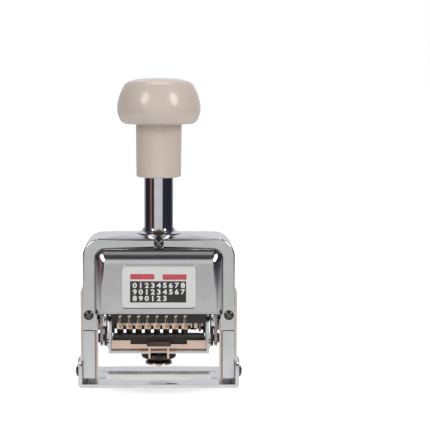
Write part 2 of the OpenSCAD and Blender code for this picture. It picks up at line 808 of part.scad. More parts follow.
module main_spring() {
  color("silver") coil(spring_r, spring_wire, bush_top + spring_wire / 2 + 0.05,
    spring_top - spring_wire / 2 - 0.05, spring_turns, 14, 6);
}

// ---- head -------------------------------------------------------------------

module head_bridge() {
  color("dimgray") difference() {
    union() {
      block(-cheek_in, cheek_in, -bridge_front, bridge_rear, bridge_z, bridge_z + bridge_t);
      both() block(cheek_in - 1.6, cheek_in, -bridge_front, bridge_rear, bridge_z - lug_drop,
        bridge_z + 0.5);
    }
    translate([0, 0, bridge_z - 1]) cylinder(d = rod_d, h = bridge_t + 2);
    pin_x(2, -cheek_in - 1, cheek_in + 1, tie_y, tie_z);
  }
}

// Side plate of the head; its rear edge keeps clear of the swinging pad
module cheek() {
  z = shaft_z;
  difference() {
    along_x(cheek_in, cheek_out) {
      polygon([[-guard_y + seat, guard_z + guard_h + 2], [-guard_y + seat, guard_z - 1.5],
        [-cheek_r * sin(48), z - cheek_r * cos(48)], [-cheek_r * sin(30), z - cheek_r * cos(30)],
        [0, z - 5], [4, z - 3], [4, bridge_z + bridge_t], [-7, bridge_z + bridge_t], [-7, z + 9]]);
      translate([0, z]) circle(5);
    }
    pin_x(shaft_d, cheek_in - 1, cheek_out + 1, 0, z);
    pin_x(2, cheek_in - 1, cheek_out + 1, tie_y, tie_z);
  }
}

module left_cheek() {
  color("dimgray") mirror([1, 0, 0]) cheek();
}

module right_cheek() {
  color("dimgray") cheek();
}

module tie_rods() {
  color("gray") pin_x(2, -cheek_out, cheek_out, tie_y, tie_z);
}

module wheel_shaft() {
  color("silver") difference() {
    pin_x(shaft_d, -arm_out - 0.1, arm_out + 0.1, 0, shaft_z);
    both() pin_x(2, arm_out - 3, arm_out + 1, 0, shaft_z);
  }
}

module shaft_screws() {
  color("black") both() {
    pin_x(2, arm_out - 2.9, arm_out + 0.15, 0, shaft_z);
    translate([arm_out + 0.1, 0, shaft_z]) rotate([0, 90, 0]) pan_head(5.4, 1.2);
  }
}

module guard_bar() {
  color("black") difference() {
    along_y(-guard_y - guard_t, -guard_y)
      rounded(-cheek_out, cheek_out, guard_z, guard_z + guard_h, 0.6);
    for (i = [1:wheel_n])
      block(wheel_x(i) - finger_w / 2 - side_gap, wheel_x(i) + finger_w / 2 + side_gap,
        -guard_y - guard_t - 1, 0, guard_z - 1, guard_z + guard_h - 2.1);
    for (i = [1:wheel_n]) pin_y(1.1, -guard_y - guard_t - 1, 0, wheel_x(i), guard_z + guard_h - 1.3);
  }
}

// Comb behind the guard; a spring finger before each wheel runs down in the guard's slot
module detent_comb() {
  y = guard_y + guard_t - 0.3;
  color("tan") {
    block(-cheek_in + side_gap, cheek_in - side_gap, -comb_y - comb_t, -comb_y,
      guard_z + guard_h - 2.5, guard_z + guard_h);
    for (i = [1:wheel_n]) {
      along_x(wheel_x(i) - finger_w / 2, wheel_x(i) + finger_w / 2) polygon([
        [-comb_y, guard_z + guard_h - 2], [-y, guard_z + guard_h - 2.3],
        [-y, guard_z], [-y + 0.4, guard_z - 0.3], [-guard_y, guard_z + 0.3],
        [-comb_y, guard_z + 0.7], [-comb_y, guard_z + 1.2], [-guard_y, guard_z + 1.4]]);
      pin_y(1.1, -guard_y - guard_t - 0.2, -comb_y, wheel_x(i), guard_z + guard_h - 1.3);
    }
  }
}

module wheel_spacer() {
  color("gray") {
    difference() {
      pin_x(spacer_d, stack_right + side_gap, yoke_right - side_gap, 0, shaft_z);
      pin_x(shaft_d, stack_right, yoke_right, 0, shaft_z);
    }
    difference() {
      pin_x(spacer_d, yoke_right + yoke_right_w + side_gap, cheek_in, 0, shaft_z);
      pin_x(shaft_d, yoke_right, cheek_in + 1, 0, shaft_z);
    }
  }
}

// Decagonal wheel with a saw-tooth ratchet on its right side
module number_wheel(i) {
  x = wheel_x(i);
  color("burlywood") difference() {
    union() {
      translate([x - wheel_w / 2, 0, shaft_z]) rotate([0, 90, 0]) rotate([0, 0, 18])
        cylinder(r = wheel_r, h = wheel_w, $fn = 10);
      translate([0, 0, shaft_z]) along_x(x + wheel_w / 2 - 0.01, x + wheel_w / 2 + ratchet_w)
        polygon([for (k = [0:9], s = [0, 1]) let (a = 36 * k + (s == 0 ? 0 : 6),
          r = s == 0 ? ratchet_r : ratchet_r - tooth_h) [r * cos(a), r * sin(a)]]);
    }
    pin_x(shaft_d + 2 * run, x - wheel_pitch, x + wheel_pitch, 0, shaft_z);
  }
}

module number_wheel_1() { number_wheel(1); }
module number_wheel_2() { number_wheel(2); }
module number_wheel_3() { number_wheel(3); }
module number_wheel_4() { number_wheel(4); }
module number_wheel_5() { number_wheel(5); }
module number_wheel_6() { number_wheel(6); }
module number_wheel_7() { number_wheel(7); }
module number_wheel_8() { number_wheel(8); }

// ---- feed -------------------------------------------------------------------

// Point at radius r and angle a round the wheel shaft, as Y and Z
function polar(r, a) = [r * cos(a), shaft_z + r * sin(a)];

module yoke_arm(x0, x1) {
  w = 2.2;
  d = feed_rest;
  difference() {
    along_x(x0, x1) {
      translate([0, shaft_z]) circle(d = spacer_d - 0.8);
      translate(polar(yoke_r, d)) circle(w);
      polygon([polar(0, d) + w * [sin(d), -cos(d)], polar(yoke_r, d) + w * [sin(d), -cos(d)],
        polar(yoke_r, d) - w * [sin(d), -cos(d)], polar(0, d) - w * [sin(d), -cos(d)]]);
    }
    pin_x(shaft_d + 2 * run, x0 - 1, x1 + 1, 0, shaft_z);
    pin_x(pawl_d, x0 - 1, x1 + 1, polar(pawl_r, d)[0], polar(pawl_r, d)[1]);
  }
}

module feed_yoke() {
  c = polar(yoke_r + 0.9, feed_rest);
  color("dimgray") {
    yoke_arm(-cheek_in + side_gap, -cheek_in + side_gap + yoke_left_w);
    yoke_arm(yoke_right, yoke_right + yoke_right_w);
    pin_x(1.6, stack_left - side_gap - 0.01, yoke_right + 0.01, c[0], c[1]);
  }
}

module pawl_rod() {
  c = polar(pawl_r, feed_rest);
  color("silver") pin_x(pawl_d, -cheek_in + side_gap, yoke_right + yoke_right_w, c[0], c[1]);
}

// Eight stepped pawls on their rod; the tips stand just off the ratchets
module feed_pawls() {
  c = polar(pawl_r, feed_rest);
  color("tan") for (i = [1:wheel_n]) {
    x = wheel_x(i) + pawl_x;
    difference() {
      along_x(x, x + pawl_t) {
        translate(c) circle(d = pawl_d + 2);
        polygon([polar(pawl_r, feed_rest + 11), polar(pawl_r - 1, feed_rest + 14),
          polar(finger_r + 0.6, feed_rest + 24), polar(finger_r + 0.05, feed_rest + 20),
          polar(finger_r + 0.9, feed_rest + 8), polar(pawl_r - 1.6, feed_rest)]);
      }
      pin_x(pawl_d, x - 1, x + pawl_t + 1, c[0], c[1]);
    }
  }
}

// ---- ink pad carriage -------------------------------------------------------

// Side arm with the pivot bore and the slot that rides on the swing pin
module pad_arm() {
  d = swing_dir;
  difference() {
    along_x(arm_in, arm_out) {
      polygon([[-frame_front, frame_z], [frame_rear, frame_z], [frame_rear, frame_z + 8],
        [arm_boss, shaft_z], [-arm_boss, shaft_z], [-frame_front, shaft_z - 6.5]]);
      translate([0, shaft_z]) circle(arm_boss);
    }
    pin_x(shaft_d + 2 * run, arm_in - 1, arm_out + 1, 0, shaft_z);
    translate([0, 0, shaft_z]) rotate([d, 0, 0]) {
      block(arm_in - 1, arm_out + 1, -slot_w / 2, slot_w / 2, -slot_far, -slot_near);
      for (r = [slot_near, slot_far]) pin_x(slot_w, arm_in - 1, arm_out + 1, 0, -r);
    }
  }
}

module pad_frame() {
  notch = clip_x - 1.1;
  color("silver") {
    both() pad_arm();
    difference() {
      block(-arm_out, arm_out, -frame_front, 7, frame_z, frame_z + arm_t);
      block(-notch, notch, -frame_front - 1, -frame_front + 2, frame_z - 1, frame_z + arm_t + 1);
    }
    along_y(-frame_front, -frame_front + arm_t) difference() {
      union() {
        rounded(-flange_out, flange_out, frame_z, shaft_z - 6.5, 4);
        translate([-flange_out, frame_z + 5]) square([2 * flange_out, shaft_z - 11.5 - frame_z]);
      }
      translate([-arm_in, frame_z + flange_h]) square([2 * arm_in, 20]);
      translate([-notch, frame_z - 1]) square([2 * notch, 20]);
    }
  }
}

// Tray with a stepped front lip
module pad_tray() {
  f = frame_front - arm_t - seat;
  color("peru") difference() {
    union() {
      block(-tray_x, tray_x, -f, f, tray_low, tray_floor);
      along_y(-f, -f + 0.8) {
        for (m = [0, 1]) mirror([m, 0])
          translate([step_x, frame_gap_z]) square([tray_x - step_x, 3.8]);
        translate([-step_x - 1, frame_gap_z]) square([2 * step_x + 2, 2.1]);
      }
    }
    block(-tray_x - 1, tray_x + 1, -f - 1, -f + 2.2, 0, frame_gap_z);
  }
}

module ink_pad() {
  f = frame_front - arm_t - seat - 0.85;
  color([0.12, 0.08, 0.06]) along_y(-min(f, pad_d / 2), pad_d / 2)
    rounded(-tray_x + 0.3, tray_x - 0.3, tray_floor, pad_top, 0.7);
}

// Trapezoid nut on the front lip
module pad_nut() {
  f = frame_front - arm_t - seat;
  color("dimgray") along_y(-f - 1.15, -f - seat) polygon([
    [-5.4, frame_gap_z + 1.6], [5.4, frame_gap_z + 1.6], [4.5, frame_gap_z + 3.4],
    [-4.5, frame_gap_z + 3.4]]);
}

// Inverted U spring clip in front of the pad frame
module pad_clip() {
  f = frame_front + seat;
  color("peru") difference() {
    along_y(-f - 0.95, -f) {
      rounded(-clip_x - 0.7, clip_x + 0.7, frame_gap_z + 0.8, frame_gap_z + 1.5, 0.3);
      for (x = [-clip_x, clip_x - 0.9])
        translate([x, frame_z - 1.9]) square([0.9, frame_gap_z + 2.9 - frame_z]);
    }
    pin_x(clip_pin_d, -6, 6, clip_pin_y, clip_pin_z);
  }
}

module clip_pin() {
  color("darkgoldenrod") pin_x(clip_pin_d, -8.2, 8.2, clip_pin_y, clip_pin_z);
}

// Finger spool under the pad frame
module pad_spool() {
  r = spool_d / 2;
  z = frame_z - 3.2;
  color([0.15, 0.15, 0.16]) rotate_extrude() polygon([
    [0, frame_z], [hub_d / 2 + 0.4, frame_z], [hub_d / 2 + 0.4, frame_z - 0.8], [r - 0.9, frame_z - 0.9],
    [r - 0.3, frame_z - 1.2], [r, frame_z - 1.7], [r, z + 1], [r - 0.3, z + 0.4], [r - 1, z],
    [hub_d / 2, z - 0.1], [hub_d / 2 + 0.1, spool_z + 1.4], [foot_d / 2 - 0.5, spool_z + 0.9],
    [foot_d / 2, spool_z + 0.6], [foot_d / 2, spool_z + 0.3], [foot_d / 2 - 0.4, spool_z],
    [0, spool_z]]);
}

// ---- selector ---------------------------------------------------------------

module selector_dial() {
  y = shell_rear + seat + 1;
  color("gold") difference() {
    pin_y(2 * dial_r, y, y + 0.6, 0, dial_z);
    pin_y(3 + 2 * run, y - 1, y + 2, 0, dial_z);
  }
}

module selector_pointer() {
  y = shell_rear + seat + 1.6 + 0.1;
  color("silver") {
    pin_y(3, shell_rear - 1, y, 0, dial_z);
    along_y(y, y + 1.2) {
      translate([0, dial_z]) circle(3);
      polygon([[-2.4, dial_z], [2.4, dial_z], [0.5, dial_z + dial_r - 1], [-0.5, dial_z + dial_r - 1]]);
    }
    pin_y(4, y + 1.1, y + 2.2, 0, dial_z);
  }
}

base_plate();
left_post();
right_post();
left_side_bar();
right_side_bar();
base_screws();
frame_shell();
neck_collar();
neck_tube();
guide_bush();
front_cover();
name_plate();
front_screws();
rear_cover();
rear_screws();
left_hanger();
right_hanger();
swing_pins();
hanger_screws();
lock_button();
lock_pin();
lock_spring();
knob_cap();
knob_ring();
knob_sleeve();
plunger_rod();
rod_nut();
main_spring();
head_bridge();
left_cheek();
right_cheek();
tie_rods();
wheel_shaft();
shaft_screws();
guard_bar();
detent_comb();
wheel_spacer();
number_wheel_1();
number_wheel_2();
number_wheel_3();
number_wheel_4();
number_wheel_5();
number_wheel_6();
number_wheel_7();
number_wheel_8();
feed_yoke();
pawl_rod();
feed_pawls();
pad_frame();
pad_tray();
ink_pad();
pad_nut();
pad_clip();
clip_pin();
pad_spool();
selector_dial();
selector_pointer();
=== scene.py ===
import json
import math
import bmesh
import bpy
import numpy as np
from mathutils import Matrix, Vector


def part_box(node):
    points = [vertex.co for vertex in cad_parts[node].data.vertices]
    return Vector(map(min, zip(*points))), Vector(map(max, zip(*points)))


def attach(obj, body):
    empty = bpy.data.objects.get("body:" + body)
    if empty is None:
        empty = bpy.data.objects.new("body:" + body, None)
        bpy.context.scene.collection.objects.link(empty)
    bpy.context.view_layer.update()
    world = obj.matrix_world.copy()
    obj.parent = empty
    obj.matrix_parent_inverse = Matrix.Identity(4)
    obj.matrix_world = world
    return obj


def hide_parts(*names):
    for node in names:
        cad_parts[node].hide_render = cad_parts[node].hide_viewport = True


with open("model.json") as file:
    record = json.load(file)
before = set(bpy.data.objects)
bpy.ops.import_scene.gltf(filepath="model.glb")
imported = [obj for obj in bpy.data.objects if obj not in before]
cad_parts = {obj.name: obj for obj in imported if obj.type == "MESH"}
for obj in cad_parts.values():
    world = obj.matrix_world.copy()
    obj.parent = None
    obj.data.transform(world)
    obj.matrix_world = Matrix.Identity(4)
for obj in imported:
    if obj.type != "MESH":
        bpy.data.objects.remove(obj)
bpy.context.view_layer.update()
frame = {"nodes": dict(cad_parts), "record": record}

cadNodes = frame["nodes"]
nodeSlot = {part["node"]: part["material_slot"] for part in frame["record"]["subparts"]}
scene = bpy.context.scene
print("frame loaded:", len(cadNodes), "solids")

mm = 0.001


def newGroup(name, inputs, outputs):
    group = bpy.data.node_groups.new(name, "ShaderNodeTree")
    for label, kind, value in inputs:
        sock = group.interface.new_socket(name=label, in_out="INPUT", socket_type=kind)
        sock.default_value = value
    for label, kind in outputs:
        group.interface.new_socket(name=label, in_out="OUTPUT", socket_type=kind)
    return group, group.nodes.new("NodeGroupInput"), group.nodes.new("NodeGroupOutput")


def addNode(nodes, kind, values=None, **settings):
    # a node with its settings made first, and then constants put on its inputs
    node = nodes.new("ShaderNode" + kind)
    for key, value in settings.items():
        setattr(node, key, value)
    for key, value in (values or {}).items():
        node.inputs[key].default_value = value
    return node


def addSpan(nodes, link, source, start, end, low=0, high=1):
    # goes from low to high while source goes from start to end
    span = addNode(nodes, "MapRange", {"From Min": start, "From Max": end, "To Min": low, "To Max": high})
    link(source, span.inputs["Value"])
    return span


def addRamp(nodes, stops):
    # a colour ramp from pairs of place and colour
    ramp = nodes.new("ShaderNodeValToRGB")
    elements = ramp.color_ramp.elements
    while len(elements) < len(stops):
        elements.new(0.5)
    for element, (place, color) in zip(elements, stops):
        element.position = place
        element.color = (*color, 1)
    return ramp


grain = dict(detail=5, roughness=0.55, start=0.32, end=0.68)


def buildGrain():
    # noise stretched by Stretch; Value runs from Low to High, Height is the raw noise
    group, inp, out = newGroup("surfaceGrain", [
        ("Size", "NodeSocketFloat", 1000.0), ("Stretch", "NodeSocketVector", (1, 1, 1)),
        ("Low", "NodeSocketFloat", 0.0), ("High", "NodeSocketFloat", 1.0)],
        [("Value", "NodeSocketFloat"), ("Height", "NodeSocketFloat")])
    n, link = group.nodes, group.links.new
    coord = addNode(n, "TexCoord")
    mult = addNode(n, "VectorMath", operation="MULTIPLY")
    noise = addNode(n, "TexNoise", {"Detail": grain["detail"], "Roughness": grain["roughness"]})
    link(coord.outputs["Object"], mult.inputs[0])
    link(inp.outputs["Stretch"], mult.inputs[1])
    link(mult.outputs[0], noise.inputs["Vector"])
    link(inp.outputs["Size"], noise.inputs["Scale"])
    span = addSpan(n, link, noise.outputs["Fac"], grain["start"], grain["end"])
    link(inp.outputs["Low"], span.inputs["To Min"])
    link(inp.outputs["High"], span.inputs["To Max"])
    link(span.outputs["Result"], out.inputs["Value"])
    link(noise.outputs["Fac"], out.inputs["Height"])
    return group


specks = dict(detail=3, start=0.58, end=0.72, upFrom=0.3, size=2600.0, amount=0.12, color=(0.62, 0.6, 0.57))


def buildDust():
    # fine specks that lie on faces turned upwards, 0 to Amount
    group, inp, out = newGroup("restingDust", [
        ("Size", "NodeSocketFloat", specks["size"]), ("Amount", "NodeSocketFloat", specks["amount"])],
        [("Mask", "NodeSocketFloat")])
    n, link = group.nodes, group.links.new
    coord = addNode(n, "TexCoord")
    noise = addNode(n, "TexNoise", {"Detail": specks["detail"]})
    geo = addNode(n, "NewGeometry")
    split = addNode(n, "SeparateXYZ")
    both = addNode(n, "Math", operation="MULTIPLY")
    scaled = addNode(n, "Math", operation="MULTIPLY")
    link(coord.outputs["Object"], noise.inputs["Vector"])
    link(inp.outputs["Size"], noise.inputs["Scale"])
    link(geo.outputs["Normal"], split.inputs[0])
    span = addSpan(n, link, noise.outputs["Fac"], specks["start"], specks["end"])
    upward = addSpan(n, link, split.outputs["Z"], specks["upFrom"], 1)
    link(span.outputs["Result"], both.inputs[0])
    link(upward.outputs["Result"], both.inputs[1])
    link(both.outputs[0], scaled.inputs[0])
    link(inp.outputs["Amount"], scaled.inputs[1])
    link(scaled.outputs[0], out.inputs["Mask"])
    return group


grainGroup = buildGrain()
dustGroup = buildDust()

# what a look has when it doesn't say otherwise; sizes are noise scales, bump is in metres
plainLook = dict(metal=0.0, ior=1.48, coat=0.0, coatRough=0.05, sheen=0.0, slowSize=180.0, fineSize=1500.0,
                 stretch=(1, 1, 1), bump=0.00002, bumpStrength=0.5, dust=specks["amount"])


def makeFinish(name, look):
    # color and alt are mixed by a slow grain, rough runs from low to high with a fine grain;
    # metal, coat and sheen are constants on the shader
    look = {**plainLook, "alt": look["color"], **look}
    mat = bpy.data.materials.new(name)
    mat.use_nodes = True
    n, link = mat.node_tree.nodes, mat.node_tree.links.new
    shader = n["Principled BSDF"]
    for sock, key in (("Metallic", "metal"), ("IOR", "ior"), ("Coat Weight", "coat"),
                      ("Coat Roughness", "coatRough"), ("Sheen Weight", "sheen")):
        shader.inputs[sock].default_value = look[key]

    slow = addNode(n, "Group", {"Size": look["slowSize"]}, node_tree=grainGroup)
    mix = addNode(n, "Mix", {"A": (*look["color"], 1), "B": (*look["alt"], 1)}, data_type="RGBA")
    link(slow.outputs["Value"], mix.inputs["Factor"])
    dust = addNode(n, "Group", {"Amount": look["dust"]}, node_tree=dustGroup)
    dusty = addNode(n, "Mix", {"B": (*specks["color"], 1)}, data_type="RGBA")
    link(dust.outputs["Mask"], dusty.inputs["Factor"])
    link(mix.outputs["Result"], dusty.inputs["A"])
    link(dusty.outputs["Result"], shader.inputs["Base Color"])

    fine = addNode(n, "Group", {"Size": look["fineSize"], "Stretch": look["stretch"], "Low": look["rough"][0],
                                "High": look["rough"][1]}, node_tree=grainGroup)
    link(fine.outputs["Value"], shader.inputs["Roughness"])
    bump = addNode(n, "Bump", {"Strength": look["bumpStrength"], "Distance": look["bump"]})
    link(fine.outputs["Height"], bump.inputs["Height"])
    link(bump.outputs["Normal"], shader.inputs["Normal"])
    return mat


finishLook = {
    "shell_chrome": dict(color=(0.71, 0.71, 0.72), alt=(0.655, 0.655, 0.67), metal=1, rough=(0.17, 0.26),
                         stretch=(0.04, 1, 1), fineSize=2600, bump=0.000010),
    "base_chrome": dict(color=(0.71, 0.71, 0.73), alt=(0.63, 0.63, 0.66), metal=1, rough=(0.14, 0.24),
                        stretch=(0.05, 1, 1), fineSize=2200, bump=0.000010),
    "post_metal": dict(color=(0.72, 0.73, 0.73), alt=(0.66, 0.67, 0.67), metal=1, rough=(0.28, 0.40),
                       stretch=(1, 1, 0.05), fineSize=2600, bump=0.000012),
    "bar_metal": dict(color=(0.74, 0.67, 0.635), alt=(0.67, 0.60, 0.565), metal=1, rough=(0.26, 0.38),
                      stretch=(1, 1, 0.06), fineSize=2400, bump=0.000012),
    "black_screw": dict(color=(0.020, 0.020, 0.022), alt=(0.035, 0.034, 0.036), metal=0.6,
                        rough=(0.14, 0.26), fineSize=3200, coat=0.5, dust=0.05),
    "neck_chrome": dict(color=(0.72, 0.72, 0.76), alt=(0.66, 0.66, 0.71), metal=1, rough=(0.05, 0.10),
                        stretch=(1, 1, 0.03), fineSize=2400, bump=0.000004, dust=0.04),
    "cover_chrome": dict(color=(0.69, 0.69, 0.695), alt=(0.63, 0.63, 0.64), metal=1, rough=(0.09, 0.15),
                         stretch=(0.04, 1, 1), fineSize=2400, bump=0.000006, dust=0.05),
    "plate_white": dict(color=(0.65, 0.66, 0.64), alt=(0.61, 0.62, 0.60), rough=(0.30, 0.42),
                        fineSize=3000, bump=0.000004, dust=0.03),
    "beige_plastic": dict(color=(0.57, 0.49, 0.43), alt=(0.54, 0.465, 0.41), rough=(0.20, 0.28),
                          slowSize=90, fineSize=2200, bump=0.000005, coat=0.35, coatRough=0.10,
                          dust=0.06),
    "bush_brass": dict(color=(0.70, 0.56, 0.30), metal=1, rough=(0.2, 0.32), fineSize=2600),
    "lock_bronze": dict(color=(0.085, 0.052, 0.042), alt=(0.055, 0.036, 0.030), metal=0.9, rough=(0.3, 0.42)),
    "spring_steel": dict(color=(0.55, 0.55, 0.56), metal=1, rough=(0.2, 0.3)),
    "rod_steel": dict(color=(0.60, 0.60, 0.61), alt=(0.54, 0.54, 0.55), metal=1, rough=(0.16, 0.26),
                      stretch=(0.05, 1, 1), fineSize=2600),
    "black_steel": dict(color=(0.020, 0.020, 0.021), alt=(0.032, 0.031, 0.030), metal=0.3,
                        rough=(0.32, 0.46), fineSize=2600, coat=0.2, dust=0.10),
    "rose_brass": dict(color=(0.72, 0.54, 0.42), alt=(0.62, 0.46, 0.35), metal=1, rough=(0.24, 0.36),
                       slowSize=600, fineSize=3200, bump=0.000014),
    "hanger_metal": dict(color=(0.66, 0.60, 0.58), alt=(0.52, 0.46, 0.44), metal=1, rough=(0.28, 0.4)),
    "dark_pin": dict(color=(0.060, 0.052, 0.050), alt=(0.10, 0.085, 0.080), metal=0.9, rough=(0.26, 0.38)),
    "copper_tray": dict(color=(0.80, 0.62, 0.52), alt=(0.73, 0.56, 0.47), metal=1, rough=(0.20, 0.30),
                        stretch=(0.05, 1, 1), fineSize=2600, bump=0.000010),
    "ink_felt": dict(color=(0.016, 0.011, 0.009), alt=(0.030, 0.020, 0.015), rough=(0.62, 0.85),
                     slowSize=900, fineSize=5200, bump=0.00012, bumpStrength=0.9, sheen=0.25,
                     dust=0.0),
    "spool_black": dict(color=(0.030, 0.020, 0.016), alt=(0.060, 0.036, 0.026), metal=0.6,
                        slowSize=300, rough=(0.18, 0.30), coat=0.3),
    "frame_chrome": dict(color=(0.72, 0.72, 0.74), alt=(0.65, 0.65, 0.68), metal=1, rough=(0.12, 0.2),
                         stretch=(0.05, 1, 1), fineSize=2400, bump=0.000008),
    "dial_brass": dict(color=(0.72, 0.56, 0.42), alt=(0.62, 0.48, 0.35), metal=1, rough=(0.22, 0.34)),
}
finish = {slotName: makeFinish(slotName, look) for slotName, look in finishLook.items()}

# rounding of the edges by node, in mm
edgeRound = dict(
    frame_shell=0.42, front_cover=0.22, base_plate=0.22, name_plate=0.12, knob_cap=0.15,
    knob_ring=0.15, knob_sleeve=0.15, left_post=0.25, right_post=0.25, left_side_bar=0.18,
    right_side_bar=0.18, neck_tube=0.12, neck_collar=0.12, pad_frame=0.22, pad_tray=0.12,
    guard_bar=0.15, rear_cover=0.2, left_hanger=0.25, right_hanger=0.25, left_cheek=0.15,
    right_cheek=0.15, pad_clip=0.12, pad_nut=0.1, wheel_spacer=0.12)
looseNodes = ("frame_shell", "front_cover")
plainNodes = ("main_spring", "lock_spring", "base_screws", "front_screws", "rear_screws", "shaft_screws")
rounding = dict(usual=0.08, weld=0.000002, flat=0.6, segments=2, angle=32, weight=80)


def weighNormals(obj, name, keepSharp=False):
    # large faces stay flat and the rounding between them takes the turn
    shade = obj.modifiers.new(name, "WEIGHTED_NORMAL")
    shade.keep_sharp = keepSharp
    shade.weight = rounding["weight"]


def roundEdges(obj, width):
    # doubles welded, flat faces joined, sharp edges rounded
    weld = obj.modifiers.new("weld", "WELD")
    weld.merge_threshold = rounding["weld"]
    flat = obj.modifiers.new("flat", "DECIMATE")
    flat.decimate_type = "DISSOLVE"
    flat.angle_limit = math.radians(rounding["flat"])
    bevel = obj.modifiers.new("edges", "BEVEL")
    bevel.width = width * mm
    bevel.segments = rounding["segments"]
    bevel.limit_method = "ANGLE"
    bevel.angle_limit = math.radians(rounding["angle"])
    bevel.use_clamp_overlap = obj.name not in looseNodes
    bevel.harden_normals = False
    weighNormals(obj, "shade")


for nodeName, obj in cadNodes.items():
    mat = finish[nodeSlot[nodeName]]
    if not obj.material_slots:
        obj.data.materials.append(mat)
    for entry in obj.material_slots:
        entry.material = mat
    if nodeName not in plainNodes:
        obj.data.polygons.foreach_set("use_smooth", [True] * len(obj.data.polygons))
        roundEdges(obj, edgeRound.get(nodeName, rounding["usual"]))
print("finishes set on the solids")


# focal is the focal length over the sensor's width
view = dict(eye=(0, -0.600, 0.137), pitch=6.75, focal=1390 / 430, shift=(0.1307, 0.0347), sensor=36,
            near=0.01, far=50)
camData = bpy.data.cameras.new("camera")
camData.sensor_width = view["sensor"]
camData.lens = view["sensor"] * view["focal"]
camData.shift_x, camData.shift_y = view["shift"]
camData.clip_start, camData.clip_end = view["near"], view["far"]
camera = bpy.data.objects.new("camera", camData)
camera.location = view["eye"]
camera.rotation_euler = (math.radians(90 - view["pitch"]), 0, 0)
scene.collection.objects.link(camera)
scene.camera = camera
scene.view_settings.view_transform = "Standard"


def addLamp(name, place, aim, size, power):
    # an oval area lamp at place that looks at aim
    data = bpy.data.lights.new(name, "AREA")
    data.shape = "ELLIPSE"
    data.size, data.size_y = size
    data.energy = power
    lamp = bpy.data.objects.new(name, data)
    spot = np.array(place, float)
    way = np.array(aim, float) - spot
    yaw = math.atan2(way[0], -way[1])
    tilt = math.atan2(math.hypot(way[0], way[1]), -way[2])
    lamp.location = place
    lamp.rotation_euler = (-tilt, 0, yaw)
    scene.collection.objects.link(lamp)


lamps = dict(
    left=dict(place=(-0.66, -0.70, 0.63), aim=(0, 0, 0.08), size=(0.42, 0.58), power=3.3),
    right=dict(place=(0.68, -0.66, 0.59), aim=(0, 0, 0.08), size=(0.38, 0.60), power=3.7),
    top=dict(place=(0.0, 0.25, 0.95), aim=(0, 0, 0.05), size=(0.6, 0.5), power=3.1),
)
for lampName, setting in lamps.items():
    addLamp(lampName + "Lamp", **setting)

# what the metal sees round the object, by the angle from straight in front, in degrees
pale, dark, rose = (0.76, 0.76, 0.80), (0.022, 0.022, 0.026), (0.30, 0.13, 0.15)
studio = dict(
    bands=[(-180, pale), (-160, pale), (-150, (0.30, 0.30, 0.31)), (-131, (0.40, 0.40, 0.41)), (-123, dark),
           (-76, dark), (-70, rose), (-57, rose), (-52, dark), (-39, dark), (-34, (0.72, 0.72, 0.70)),
           (0, (0.75, 0.75, 0.735)), (27, (0.70, 0.70, 0.685)), (31, (0.026, 0.028, 0.045)),
           (122, (0.022, 0.024, 0.036)), (133, (0.46, 0.46, 0.47)), (150, (0.44, 0.44, 0.46)), (160, pale),
           (180, pale)],
    over=(0.05, 0.05, 0.055), sky=(0.95, 0.95, 0.97),
    # how strong the sky's diffuse light is at the left and at the right
    skyLight=(0.44, 0.74), skyFrom=-0.4,
    # how dark the ceiling is, by the sine of the height above the horizon
    ceiling=[(0, 0), (0.56, 0), (0.635, 1), (0.79, 0.97), (0.865, 0.46), (0.905, 0.46), (0.95, 1), (1, 1)])


def bandRamp(nodes, link, vector):
    # angle round Z from -Y towards +X, turned into 0 to 1 and looked up in the bands
    split = addNode(nodes, "SeparateXYZ")
    flip = addNode(nodes, "Math", {1: -1}, operation="MULTIPLY")
    turn = addNode(nodes, "Math", operation="ARCTAN2")
    ramp = addRamp(nodes, [((angle + 180) / 360, color) for angle, color in studio["bands"]])
    link(vector, split.inputs[0])
    link(split.outputs["Y"], flip.inputs[0])
    link(split.outputs["X"], turn.inputs[0])
    link(flip.outputs[0], turn.inputs[1])
    span = addSpan(nodes, link, turn.outputs[0], -math.pi, math.pi)
    link(span.outputs["Result"], ramp.inputs["Fac"])
    return ramp.outputs["Color"], split


def glossyPick(nodes, link, plain, shiny, seen, surface):
    # diffuse rays get plain, glossy and transmission rays shiny, camera rays seen
    path = nodes.new("ShaderNodeLightPath")
    either = addNode(nodes, "Math", operation="MAXIMUM")
    first = nodes.new("ShaderNodeMixShader")
    second = nodes.new("ShaderNodeMixShader")
    link(path.outputs["Is Glossy Ray"], either.inputs[0])
    link(path.outputs["Is Transmission Ray"], either.inputs[1])
    link(either.outputs[0], first.inputs[0])
    link(plain, first.inputs[1])
    link(shiny, first.inputs[2])
    link(path.outputs["Is Camera Ray"], second.inputs[0])
    link(first.outputs[0], second.inputs[1])
    link(seen, second.inputs[2])
    link(second.outputs[0], surface)


world = bpy.data.worlds.new("studio")
scene.world = world
world.use_nodes = True
wn, wlink = world.node_tree.nodes, world.node_tree.links.new
sky = wn["Background"]
sky.inputs["Color"].default_value = (*studio["sky"], 1)
white = addNode(wn, "Background", {"Color": (1, 1, 1, 1)})
around = addNode(wn, "Background")
way = addNode(wn, "TexCoord")
bandColor, waySplit = bandRamp(wn, wlink, way.outputs["Generated"])
# the ceiling is dark, with one paler ring
high = addRamp(wn, [(place, (level,) * 3) for place, level in studio["ceiling"]])
ceiling = addNode(wn, "Mix", {"B": (*studio["over"], 1)}, data_type="RGBA")
spread = addSpan(wn, wlink, waySplit.outputs["X"], studio["skyFrom"], 1, *studio["skyLight"])
wlink(spread.outputs["Result"], sky.inputs["Strength"])
wlink(waySplit.outputs["Z"], high.inputs["Fac"])
wlink(high.outputs["Color"], ceiling.inputs["Factor"])
wlink(bandColor, ceiling.inputs["A"])
wlink(ceiling.outputs["Result"], around.inputs["Color"])
glossyPick(wn, wlink, sky.outputs[0], around.outputs[0], white.outputs[0],
           wn["World Output"].inputs["Surface"])


